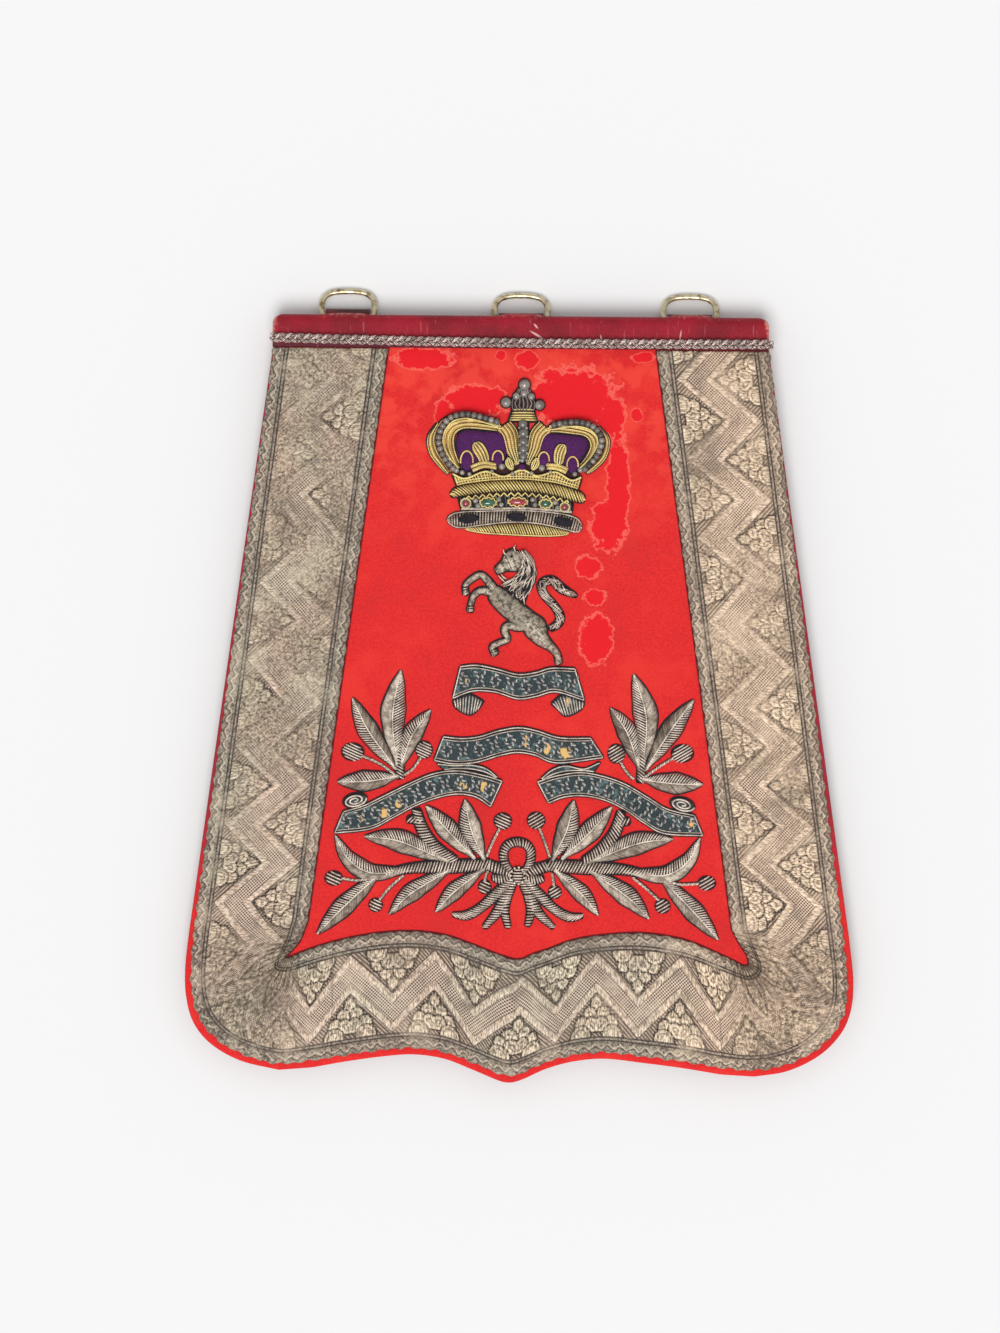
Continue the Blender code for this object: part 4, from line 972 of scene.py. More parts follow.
# Three strands of a flat plait: each swings from side to side once a period while it rises and dips
# twice, a third of a period behind the one before.
def makePlait():
    t = np.linspace(0, 1, cord["turns"] * cord["pointsPerTurn"])
    left, right = np.array(cord["left"]), np.array(cord["right"])
    middle = left + (right - left) * t[:, None]
    middle[:, 1] += cord["sag"] * np.sin(math.pi * t)
    phase = math.tau * (t[None] * cord["turns"] + np.arange(3)[:, None] / 3)
    flat = np.broadcast_to(middle[None], (3, len(t), 2)).copy()
    flat[..., 1] += cord["swing"] * np.sin(phase)
    level = cord["level"] + cord["dip"] * np.sin(2 * phase)
    plait, core = Gathered(), Gathered()
    # a dark core under the strands, seen between them as painted shade
    core.lay(np.dstack([flat, level]), cord["core"], 8, 0.3)
    for index, shade in enumerate(cord["shades"]):
        wind = math.tau * (t * cord["windings"] + index / len(cord["shades"]))
        thread = flat + np.stack([np.zeros_like(wind), cord["windRadius"] * np.cos(wind)], -1)[None]
        rise = level + cord["windRadius"] * np.sin(wind)[None]
        plait.lay(np.dstack([thread, rise]), cord["threadRadius"], 5, shade)
    material = threadLook("plait_thread", (255, 240, 230), (184, 130, 120), (98, 62, 58),
                          roughness=0.4, patches=0.4)
    plait.piece("plait", material, ["plaited_cord"], slot="silver_wire")
    core.piece("plait_core", paddingYarn, slot="silver_wire")


# Stitches along a line: short threads that stand out at their middle and dip into the leather at
# both ends.
def layStitches(line, length, gap, level, side=1):
    total = runLength(line)[-1]
    count = int(total / (length + gap))
    starts = (np.arange(count) * (length + gap))[:, None] / total
    t = np.linspace(0, 1, 5)[None]
    flat = along(line, starts + t * length / total)
    return np.dstack([flat, level + side * (0.35 * np.sin(math.pi * t) - 0.12) * np.ones((count, 1))])


# The backing board: the outline of the face drawn in a little, as a flat shell.
def makeBacking(outline, centre):
    steps = leather["board"] + [(share, leather["board"][-1][1]) for share in np.linspace(0.96, 0.1, 16)]
    spots, faces = loopShell(centre + (outline - centre) * leather["boardShare"], centre, steps)
    # its edge, the section's third to sixth loops, is rubbed
    worn = np.zeros(len(spots))
    worn[len(outline) * 2:len(outline) * 6] = 0.4
    addPiece("backing", spots, faces, moroccoBack, ["leather_backing"], {"worn": worn},
             slot="crimson_leather")


# The slip pocket on the back, its mouth towards the rings: the wall's section carried round the
# outline, with floor, inner face and lips closed across from side to side.
def makePocket(line, inward):
    loops = []
    for inset, level, _ in leather["wall"]:
        loop = line + inward * inset
        loop[[0, -1], 1] = leather["pocket"][0][1]
        loops.append(np.column_stack([loop, np.full(len(loop), level)]))
    rows, count = len(loops), len(line)
    ring = np.arange(count // 2)
    mirror = count - 1 - ring
    lower = np.stack([ring[:-1], ring[1:], mirror[1:], mirror[:-1]], -1)
    upper = lower[:, ::-1] + (rows - 1) * count
    mouth = (np.arange(rows) * count)[None]
    lip = np.concatenate([mouth[:, ::-1], mouth + count - 1], 1)
    worn = np.repeat([wear for _, _, wear in leather["wall"]], count)
    addPiece("pocket", toPart(np.vstack(loops)), [gridQuads(rows, count), lower, upper, lip], moroccoBack,
             ["back_pocket"], {"worn": worn}, slot="crimson_leather")


# The back: board, pocket, and stitches round both.
def makeBack():
    outline = faceOutline(leather["boardPoints"])
    centre = np.array(cloth["centre"])
    makeBacking(outline, centre)
    half = np.array(leather["pocket"], float)
    side = np.vstack([np.linspace(half[0], half[1], 60)[:-1], smoothLine(half[1:], 12)])
    base = np.linspace(side[-1], side[-1] * (-1, 1), 50)[1:-1]
    line = np.vstack([side, base, side[::-1] * (-1, 1)])
    inward = beside(line, 1.0) - line
    if inward[5, 0] > 0:
        inward = -inward
    makePocket(line, inward)
    seams = Gathered()
    seams.lay(layStitches((line + inward * 3.4)[4:-4], 2.6, 1.4, 0.02, -1), 0.28, 5)
    rim = centre + (outline - centre) * 0.975
    seams.lay(layStitches(rim[20:-20], 2.6, 1.6, 8.28, -1), 0.28, 5)
    linen = Look("linen_thread", Roughness=0.8)
    linen.set(**{"Base Color": linen.blend(linen.noise(1, 3), (150, 120, 96), (196, 166, 134))})
    seams.piece("back_stitching", linen.material, slot="crimson_leather")


makeBand()
nickel = ringLook()
for name, (x, down) in rings["places"].items():
    makeStrap(name, x, down)
    makeRing(name, x, down, nickel)
makePlait()
makeBack()
print("leather and rings")


# Embroidery

# Edges of a drawn strip, made smooth and redrawn with the same number of points.
def drawnEdges(edges, count=70):
    return [evenLine(smoothLine(edge), count) for edge in edges]


# The dark cord couched round a form: a closed line just outside it, partly real cord and partly painted
# shadow, thicker on its upper left sides, where the shadow falls.
def layOutline(cords, loop, away=0.3, radius=0.4, level=clothLevel + 0.3):
    loop = np.vstack([loop, loop[:1]])
    loop = evenLine(loop, max(int(runLength(loop)[-1] / 1.1), 16))
    normal = squareTo(loop)
    x, down = loop.T
    if (x[:-1] * down[1:] - x[1:] * down[:-1]).sum() > 0:
        normal = -normal
    # the side turned from the light gets a thicker cord: painted shadow
    towards = np.clip(normal @ (-0.5, -0.87), 0, 1)
    cords.wire(loop + normal * away, level, radius * (0.75 + 0.5 * towards), 5, 0.5)


# The same cord round a strip: out along one edge and back along the other.
def edgeCord(cords, edges, *sizes):
    first, second = edges
    layOutline(cords, np.vstack([first[:, :2], second[::-1, :2]]), *sizes)


# Round beads: one ball, of rings of points from pole to pole, repeated at every place.
def layBeads(target, places, radius, sides=8, flatness=1.0, shade=0.7):
    places = np.atleast_2d(np.asarray(places, float))
    polar = np.linspace(-0.42, 0.42, 6) * math.pi
    rows = len(polar)
    angle = np.arange(sides) * math.tau / sides
    ball = np.stack([np.cos(polar)[:, None] * np.cos(angle), np.cos(polar)[:, None] * np.sin(angle),
                     np.broadcast_to(np.sin(polar)[:, None] * flatness, (rows, sides))], -1).reshape(-1, 3)
    radius = np.broadcast_to(np.asarray(radius, float), len(places))
    spots = toPart(places)[:, None] + ball[None] * radius[:, None, None] * mm
    grid = spots.shape[:2]
    target.add(spots, tubeFaces(rows, sides, len(places)), run=np.zeros(grid), turn=np.zeros(grid),
               shade=np.broadcast_to(np.asarray(shade, float).reshape(-1, 1), grid))


# Beads threaded along a line.
def beadRow(target, line, radius, pitch, level, shade=None):
    count = max(int(runLength(line)[-1] / pitch), 2)
    spots = along(line[:, :2], (np.arange(count) + 0.5) / count)
    if shade is None:
        shade = rng.uniform(0.1, 0.9, count)
    layBeads(target, np.column_stack([spots, np.full(count, level)]), radius, shade=shade)


# A pad and the wires that cross it; a pair of shades is the range from which each wire gets its own.
def workStrip(pads, wires, edges, height, pitch=1.25, radius=plainWire, lean=0.0, arch=archRound, swell=None,
              points=7, shade=0.9, padShare=0.82):
    first, second = edges
    pads.pad(first, second, height * padShare, arch, swell=swell)
    paths = layAcross(first, second, pitch, lean, height, arch, points, swell=swell)
    if np.ndim(shade):
        shade = rng.uniform(*shade, len(paths))
    wires.lay(paths, radius, 5, shade)


# Short wires strewn over a strip, all nearly along it and aslant to either side by turns.
def layShort(first, second, count, length, aslant, height, level=stitchLevel):
    total = (runLength(first)[-1] + runLength(second)[-1]) / 2
    t = np.linspace(-0.5, 0.5, 5)[None]
    middle = np.linspace(0.02, 0.98, count)[:, None]
    across = rng.uniform(0.06, 0.94, (count, 1))
    way = np.where(np.arange(count) % 2, aslant, -aslant)[:, None] * rng.uniform(0.4, 1.2, (count, 1))
    shares = np.clip(middle + t * length / total, 0, 1)
    sideways = np.clip(across + t * way, 0, 1)
    a, b = along(first[:, :2], shares), along(second[:, :2], shares)
    rise = np.interp(sideways, *archRound) * height + 0.4 * np.cos(t * math.pi) * np.ones((count, 1))
    return np.dstack([a + (b - a) * sideways[..., None], level + rise])


# Crown

crown = {
    "leftCap": [(-27.4, 52.2), (-24, 50.4), (-15, 50.9), (-7.8, 51.6), (-6, 55), (-5.6, 61.5), (-7.6, 66.6),
        (-15, 66.8), (-22, 69.4), (-24.6, 66.6), (-27.6, 61.6), (-28.2, 56)],
    "rightCap": [(10.2, 52.4), (14, 51.5), (22, 52.2), (28.6, 53.2), (30.6, 56.4), (28.6, 61.6), (25.4, 66),
        (22.8, 69.6), (17, 67), (9.6, 67), (9, 58)],
    "leftArch": ([(-7.2, 50.9), (-15, 50), (-24.2, 49.5), (-28.6, 52), (-29.2, 57), (-27.8, 62.4),
         (-25.6, 66.9)],
        [(-9.6, 46.6), (-15, 44.6), (-25, 42.6), (-34.4, 46), (-38.6, 54), (-37, 60.6),
         (-31.4, 69.4)]),
    "rightArch": ([(10.6, 51.7), (15, 50.8), (22.4, 51.4), (29.2, 52.6), (31.6, 56.6), (29.8, 61.6),
         (26.4, 66)],
        [(14, 47.4), (18, 46.2), (26, 46), (34, 48.4), (38.4, 54.4), (36.6, 61.6),
         (29.6, 68.4)]),
    # gold beyond the beads, outermost
    "crescents": [([(-36.4, 47.6), (-39.6, 54), (-38.4, 60.6), (-34.6, 66), (-31.6, 69.8)],
         [0.8, 2.6, 3.0, 2.4, 1.0]),
        ([(35.2, 48.6), (38.8, 54.4), (37.4, 61.4), (33.4, 66), (30, 69)],
         [0.8, 2.2, 2.4, 2.2, 1.0])],
    "leftBeads": [(-9, 47.2), (-14, 45.6), (-20, 44), (-25, 43.5), (-31, 45.3), (-35, 50.3), (-35.9, 56),
        (-34.2, 61), (-31.8, 65), (-28.6, 68.6)],
    "rightBeads": [(14, 48.2), (20, 47), (26, 46.6), (31.6, 48), (35.6, 51.6), (36.4, 56), (34.6, 61),
        (31, 65.6), (28.2, 68.4)],
    # the middle arch opens out at its top like two turned ribbons
    "flanks": [([(-7.4, 48.6), (-4.8, 52.4), (-3.7, 58), (-2.2, 62.4), (-1, 65.6)],
         [7.8, 8.2, 7.2, 5.2, 2.4]),
        ([(11.6, 49), (8.5, 52.6), (7.1, 58), (5.2, 62.4), (4, 65.6)], [7.8, 7.8, 6.8, 5.2, 2.4])],
    # centre and radius
    "spineBeads": [(1.4, 47.6, 2.3), (1.6, 51.4, 2.5), (1.7, 55.2, 2.4), (1.7, 58.8, 2.3), (1.6, 62, 1.9)],
    "cross": ([(-0.4, 31.4), (-1.8, 33.2), (-3, 35.4), (-4.4, 37.6), (-4, 39.6), (-3.2, 41.4)],
        [(3.6, 31.4), (5, 33.2), (6.2, 35.8), (7.4, 38), (7, 40.2), (6.2, 41.6)]),
    "crossFoot": ([(-3.2, 40.6), (-4, 43.6), (-5.2, 46.4)], [(6.2, 40.6), (6.8, 43.6), (7.8, 46.4)]),
    "balls": [(2, 30, 2.6), (-6.2, 38, 2.4), (8.8, 39, 2.3), (-1.6, 35.2, 1.7), (5, 35.4, 1.7),
        (1.8, 34, 1.7)],
    "spine": ([(-1.2, 46.6), (-0.8, 56), (0.2, 65.4)], [(4.4, 46.6), (4, 56), (2.8, 65.4)]),
    "rim": ([(-29.6, 70), (-24, 72), (-15, 68.8), (-7, 71), (1, 68), (8, 70.6), (16, 68.8), (23, 72.4),
         (27.6, 71)],
        [(-27.6, 75.2), (-23, 74.2), (-15, 73.1), (-7, 72.5), (1, 72.3), (8, 72.7), (16, 73.7),
         (22, 75.2), (26, 76.4)]),
    "behind": ([(-28.6, 66), (-20, 64.6), (-8, 63.4), (1.4, 63), (11, 63.6), (20, 65), (27.6, 66.4)],
        [(-29, 70.4), (-24, 72), (-15, 69.4), (-6, 71), (1, 69), (8, 70.8), (16, 69.4), (23, 72),
         (27, 71.4)]),
    "roll": ([(-30.6, 77.4), (-25, 75), (-12, 73), (2, 72.6), (14, 73.7), (25, 76.6), (29.6, 79)],
        [(-30.6, 80.8), (-25, 79.6), (-12, 78), (2, 77.5), (14, 78.8), (23, 81.2), (29, 82.8)]),
    "jewelBand": ([(-27, 80.6), (-12, 78.7), (2, 78.1), (12, 79.2), (24, 82.4)],
        [(-25.6, 86), (-12, 85.8), (2, 85.5), (12, 86), (23.4, 87)]),
    "ermine": ([(-32, 88.6), (-26, 87), (-15, 86.4), (0, 86), (13, 86.6), (23, 88.2), (28.4, 91)],
        [(-31.6, 92.4), (-26, 93.8), (-17, 92.6), (-5, 91.2), (6, 91.4), (16, 93), (27.4, 96)]),
    "foot": ([(-24, 93.9), (-15, 92.8), (-4, 91.6), (6, 91.8), (15, 93.3), (22, 94.9)],
        [(-23.4, 94.9), (-15, 96.1), (-4, 96.7), (6, 97.1), (15, 97.1), (22.4, 96.4)]),
    # jewels: centre, half-size, glass
    "jewels": [("left", (-13.8, 82.6), (3.9, 2.3), "green"), ("middle", (-0.6, 82.2), (4.6, 2.1), "red"),
        ("right", (11.8, 82.9), (3.1, 2.1), "green")],
    "studs": [(-23.7, 83, 2.2), (20.3, 84.4, 2.1)],
    "lumps": [(-18.8, 83, 1.3), (-8.4, 82.4, 1.2), (6.6, 82.4, 1.2), (16.6, 83.6, 1.2)],
    "tails": [(-22.4, 89.9, 4.4, 2.1, -6), (-1, 88.9, 4.2, 2.0, 2), (19.6, 91, 4.4, 2.0, 12)],
    # purple buds under an arched wire: centre, half-size
    "buds": [(-23.4, 64.2, 2.9, 4.6), (-9.6, 63, 2.5, 3.6), (10.8, 63.4, 2.5, 3.6), (23.6, 65.6, 2.6, 3.8)],
    "tongues": [([(-20.2, 56.4), (-18.2, 58.6), (-16.4, 61.6), (-15.2, 65.4)], [4.2, 5.6, 5.2, 4.2]),
        ([(20, 57), (18.4, 59), (17.6, 61.8), (17.4, 65.6)], [4.0, 5.2, 4.8, 4.0]),
        ([(-5, 62.8), (-4.6, 65), (-3.2, 67.8)], [2.0, 3.4, 2.2]),
        ([(7.6, 62.8), (7.2, 65), (5.8, 67.8)], [2.0, 3.4, 2.2])],
    "ties": [[(-21.4, 66.8), (-16, 65), (-10.6, 65.8)], [(-20.6, 68.4), (-15.6, 66.6), (-10.4, 67.2)],
        [(12, 65.6), (17, 66), (21.4, 67.6)], [(12.4, 67), (16.6, 67.4), (20.6, 69)]],
    "beads": [(-28, 68.4, 1.3), (-25.4, 69.4, 1.2), (27, 67.8, 1.3), (24.6, 69.6, 1.2), (-7.8, 66.6, 1.6),
        (10, 67, 1.6), (-22.2, 70, 1.0), (-12.2, 68.6, 0.9), (13.8, 68.8, 0.9), (-3, 69.6, 1.0),
        (5.4, 69.4, 1.0), (1.2, 63.8, 1.0)],
    "purpleBead": (1.2, 66.6, 1.7),
    # the velvet in section: share of the way from the centre, level
    "velvet": [(1.0, 13.1), (1.0, 13.9), (0.97, 14.7), (0.9, 15.3), (0.78, 15.8), (0.6, 16.1), (0.35, 16.2),
        (0.1, 16.2)],
    # how high each part stands off the cloth
    "high": {"arch": 2.8, "crescent": 1.8, "flank": 2.6, "spine": 1.8, "cross": 2.0, "crossFoot": 2.2,
             "behind": 1.2, "tongue": 1.9, "rim": 1.9, "roll": 3.1, "jewelBand": 1.2, "ermine": 2.9,
             "foot": 1.7},
}
high = crown["high"]


# Purple velvet, its pile lighter in spots.
def velvetLook():
    look = Look("purple_velvet", Roughness=0.85)
    pile = look.noise(1.6, 5, roughness=0.7)
    colour = look.blend(look.spread(pile, 0.35, 0.7), (54, 6, 62), (98, 22, 110))
    look.set(**{"Base Color": colour, "Normal": look.bump(pile, 0.7, 0.0004), "Sheen Weight": 0.15,
                "Sheen Roughness": 0.35, "Sheen Tint": (190, 120, 210)})
    return look.material


# Coloured glass, cloudy inside.
def glassLook(name, deep, pale):
    look = Look(name, Roughness=0.08)
    look.set(**{"Base Color": look.blend(look.spread(look.noise(0.5, 2), 0.3, 0.7), deep, pale),
                "Coat Weight": 0.8, "Coat Roughness": 0.05, "Specular IOR Level": 0.7})
    return look.material


velvet = velvetLook()
redGlass = glassLook("red_glass", (120, 24, 36), (180, 62, 70))
greenGlass = glassLook("green_glass", (16, 60, 44), (52, 112, 84))


# The two edges of a strip drawn together at both of its ends, so that it ends in half rounds.
def roundEnds(first, second, reach):
    middle = (first + second) / 2
    run = runLength(middle)
    near = np.clip(np.minimum(run, run[-1] - run) / reach, 0, 1)
    share = np.sqrt(1 - (1 - near) ** 2)[:, None] * 0.96 + 0.04
    return middle + (first - middle) * share, middle + (second - middle) * share


# Satin of gold: a smooth pad, wires along it and dark lines between them.
def workBand(satin, gold, cords, edges, height, wires, radius=0.36):
    first, second = edges
    satin.pad(first, second, height * 0.9)
    gold.lay(layAlong(first, second, wires, height + 0.1, points=60, inside=0.03), radius, 6, 0.9)
    cords.lay(layAlong(first, second, wires - 1, height - 0.02, points=60, inside=0.5 / wires), 0.17, 4, 0.4)


# The velvet caps: loops that step inward and up.
def makeCaps(cords):
    for side in ("left", "right"):
        outline = smoothLine(crown[side + "Cap"] + crown[side + "Cap"][:1], 8)[:-1]
        shell = loopShell(outline, outline.mean(axis=0), crown["velvet"])
        cap = addPiece("crown_velvet_" + side, *shell, velvet, ["crown_cap_" + side], slot="purple_velvet")
        layOutline(cords, outline, 0.0, 0.4, 14.0)


# The arches: bands of gold with a row of dull beads near their outer edge, and the middle one between.
def makeArches(gold, satin, pads, cords, dull, ground):
    for side in ("left", "right"):
        edges = drawnEdges(crown[side + "Arch"])
        workBand(satin, gold, cords, edges, high["arch"], 5)
        edgeCord(cords, edges)
        line = smoothLine(crown[side + "Beads"])
        pads.pad(beside(line, 1.5), beside(line, -1.5), 0.8, archFlat, level=15.8)
        beadRow(dull, line, 1.5, 2.5, 16.7)
        gold.wire(beside(line, -1.9 if side == "left" else 1.9), 16.5, boldWire, 5, 0.9)
    for spine, widths in crown["crescents"]:
        edges = edgesOf(spine, widths, 50)
        workBand(satin, gold, cords, edges, high["crescent"], 3, fineWire)
        edgeCord(cords, edges)
    for spine, widths in crown["flanks"]:
        edges = edgesOf(spine, widths, 50)
        workBand(satin, gold, cords, edges, high["flank"], 6, fineWire)
        edgeCord(cords, edges)
    ground.pad(*drawnEdges(crown["spine"], 30), high["spine"], archFlat)
    for x, down, size in crown["spineBeads"]:
        layBeads(dull, [(x, down, 15.8)], size * 0.92, 14, 0.7, 0.35)
        layBeads(dull, [(x - 1.6, down + 1.7, 16.4), (x + 1.6, down + 1.8, 16.4)], 0.75, shade=0.7)


# The cross: dull balls and wires on a gold foot.
def makeCross(gold, pads, cords, dull):
    edges = drawnEdges(crown["cross"], 40)
    pads.pad(*edges, high["cross"])
    dull.lay(layAlong(*edges, 7, 2.4, points=16, waver=0.02), 0.36, 5)
    edgeCord(cords, edges)
    foot = drawnEdges(crown["crossFoot"], 24)
    workStrip(pads, gold, foot, high["crossFoot"], 1.2, 0.36)
    edgeCord(cords, foot)
    for x, down, radius in crown["balls"]:
        layBeads(dull, [(x, down, 15.2)], radius, 16, 0.8, 0.7)
        layOutline(cords, ovalLine((x, down), (radius, radius)), 0.15, 0.34)


# Buds, tongues, ties and beads where the arches meet the rim.
def makeBuds(gold, satin, pads, cords, dull):
    pads.pad(*drawnEdges(crown["behind"], 60), high["behind"])
    for index, (x, down, wide, tall) in enumerate(crown["buds"]):
        spots, faces = domeShell((x, down), (wide, tall), 2.2, level=15.0, sides=24)
        addPiece(f"crown_bud_{index + 1}", spots, faces, velvet, slot="purple_velvet")
        line = ovalLine((x, down), (wide * 0.95, tall * 0.95), 0, 0.46, 1.04, 30)
        gold.wire(line, 16.4, boldWire, 6, 0.3)
        layOutline(cords, ovalLine((x, down), (wide, tall)), 0.3, 0.3, 15.6)
    for spine, widths in crown["tongues"]:
        edges = edgesOf(spine, widths, 40)
        edges = roundEnds(*edges, 2.2)
        satin.pad(*edges, high["tongue"], level=15.3)
        gold.lay(layAlong(*edges, 4, 2.1, points=20, level=15.3, inside=0.08), 0.42, 5, 0.9)
        cords.lay(layAlong(*edges, 3, 2.0, points=20, level=15.4, inside=0.24), 0.2, 4, 0.4)
        edgeCord(cords, edges, 0.25, 0.34, 16.1)
    for line in crown["ties"]:
        gold.lay(twisted(smoothLine(line), 0.42, 1.9, 16.9), 0.44, 5, 0.8)
    for x, down, radius in crown["beads"]:
        layBeads(dull, [(x, down, 16.0)], radius, 10, shade=0.8)
    x, down, radius = crown["purpleBead"]
    bead = domeShell((x, down), (radius, radius), 2.6, level=14.4)
    addPiece("crown_bead", *bead, velvet, slot="purple_velvet")


# Below the arches: rim, twisted roll, jewelled band, ermine and foot.
def makeRims(silver, gold, satin, pads, cords, dull, ground):
    rim = drawnEdges(crown["rim"], 90)
    workStrip(satin, gold, rim, high["rim"], 1.3, 0.36, 0, archFlat)
    cords.lay(layAcross(*rim, 1.3, 0, 1.62, archFlat), 0.2, 4, 0.4)
    edgeCord(cords, rim, 0.5, 0.45)
    gold.wire(rim[0], 15.5, 0.5, 6, 1.0)
    cords.wire(beside(rim[0], 0.95), 15.2, 0.2, 4, 0.4)
    for height in (0.0, 1.1):
        gold.wire(rim[1] - (0, 0.4 + height), 15.4, fineWire, 5, 0.8)
        cords.wire(rim[1] - (0, 0.95 + height), 15.3, 0.16, 4, 0.4)
    roll = roundEnds(*drawnEdges(crown["roll"], 90), 2.6)
    workStrip(pads, gold, roll, high["roll"], 1.35, 0.36, 4.0)
    edgeCord(cords, roll)
    zigzag = evenLine(roll[1], 157)[18:-20]
    zigzag[:, 1] += 0.5 + 1.7 * np.abs(np.arange(len(zigzag)) % 8 - 4) / 4
    gold.wire(zigzag, 15.0, plainWire, 5, 0.9)
    band = drawnEdges(crown["jewelBand"], 90)
    ground.pad(*band, high["jewelBand"], archFlat)
    edgeCord(cords, band)
    silver.lay(twisted(beside(band[1], -0.5), 0.3, 1.5, 15.0), plainWire, 5, 0.7)
    dull.lay(layAcross(*band, 1.9, 0.6, 1.4, archFlat), 0.32, 5)
    ermine = roundEnds(*drawnEdges(crown["ermine"], 90), 3.2)
    workStrip(ground, silver, ermine, high["ermine"], 1.25, 0.36, 0.2, shade=0.3)
    edgeCord(cords, ermine)
    silver.wire(ermine[0], 14.6, plainWire, 5, 0.7)
    silver.wire(ermine[1], 14.6, plainWire, 5, 0.7)
    for x, down, wide, tall, turn in crown["tails"]:
        cords.lay(layOval((x, down), (wide, tall), 0.9, turn, 0.5, level=16.0), 0.36, 5, 0.2)
    foot = roundEnds(*drawnEdges(crown["foot"], 70), 2.4)
    workStrip(pads, gold, foot, high["foot"], 1.15, 0.32, 2.4)
    edgeCord(cords, foot)
    gold.wire(foot[1], 14.2, plainWire, 5, 0.8)


# Glass stones in toothed settings of gold wire, with studs and lumps of dull wire between them.
def makeJewels(gold, dull):
    for name, centre, radii, glass in crown["jewels"]:
        stone = domeShell(centre, (radii[0] - 0.5, radii[1] - 0.5), 1.6, level=14.5, sides=28)
        addPiece("jewel_" + name, *stone, redGlass if glass == "red" else greenGlass,
                 ["jewel_red" if glass == "red" else "jewel_green_" + name], slot=glass + "_glass")
        tooth = ovalLine(centre, radii, points=41)
        tooth += squareTo(tooth) * (np.arange(41) % 4 < 2)[:, None] * 0.5
        gold.wire(tooth, 15.2, plainWire, 5, 0.8)
    for index, (x, down, radius) in enumerate(crown["studs"]):
        addPiece(f"stud_{index + 1}", *domeShell((x, down), (radius * 0.6, radius * 0.6), 1.1, level=14.6),
                 redGlass, slot="red_glass")
        for target, share in ((gold, 1.0), (dull, 0.76)):
            target.wire(ovalLine((x, down), (radius * share, radius * share)), 15.2, fineWire, 5, 0.8)
    for x, down, radius in crown["lumps"]:
        layBeads(dull, [(x - 0.6, down - 1.2, 15.3), (x + 0.5, down + 1.1, 15.3)], radius, 10, shade=0.8)


# The crown, its parts gathered by what they are made of.
def makeCrown():
    silver, gold, satin, pads, cords, dull, ground = (Gathered() for _ in range(7))
    makeCaps(cords)
    makeArches(gold, satin, pads, cords, dull, ground)
    makeCross(gold, pads, cords, dull)
    makeBuds(gold, satin, pads, cords, dull)
    makeRims(silver, gold, satin, pads, cords, dull, ground)
    makeJewels(gold, dull)
    silver.piece("crown_silver", silverThread, slot="silver_wire")
    dull.piece("crown_dull_silver", dullPurl, ["crown_cross", "crown_jewel_band", "crown_ermine"],
               slot="silver_wire")
    gold.piece("crown_gold", goldThread, ["crown_arch_left", "crown_arch_right", "crown_arch_middle",
                                          "crown_rim", "crown_roll", "crown_foot"], slot="gold_wire")
    satin.piece("crown_satin", goldSatin, slot="gold_wire")
    pads.piece("crown_padding", paddingYarn, slot="gold_wire")
    ground.piece("crown_ground", navyCord, slot="gold_wire")
    cords.piece("crown_outline", navyCord, slot="gold_wire")


makeCrown()
print("crown")


# Horse

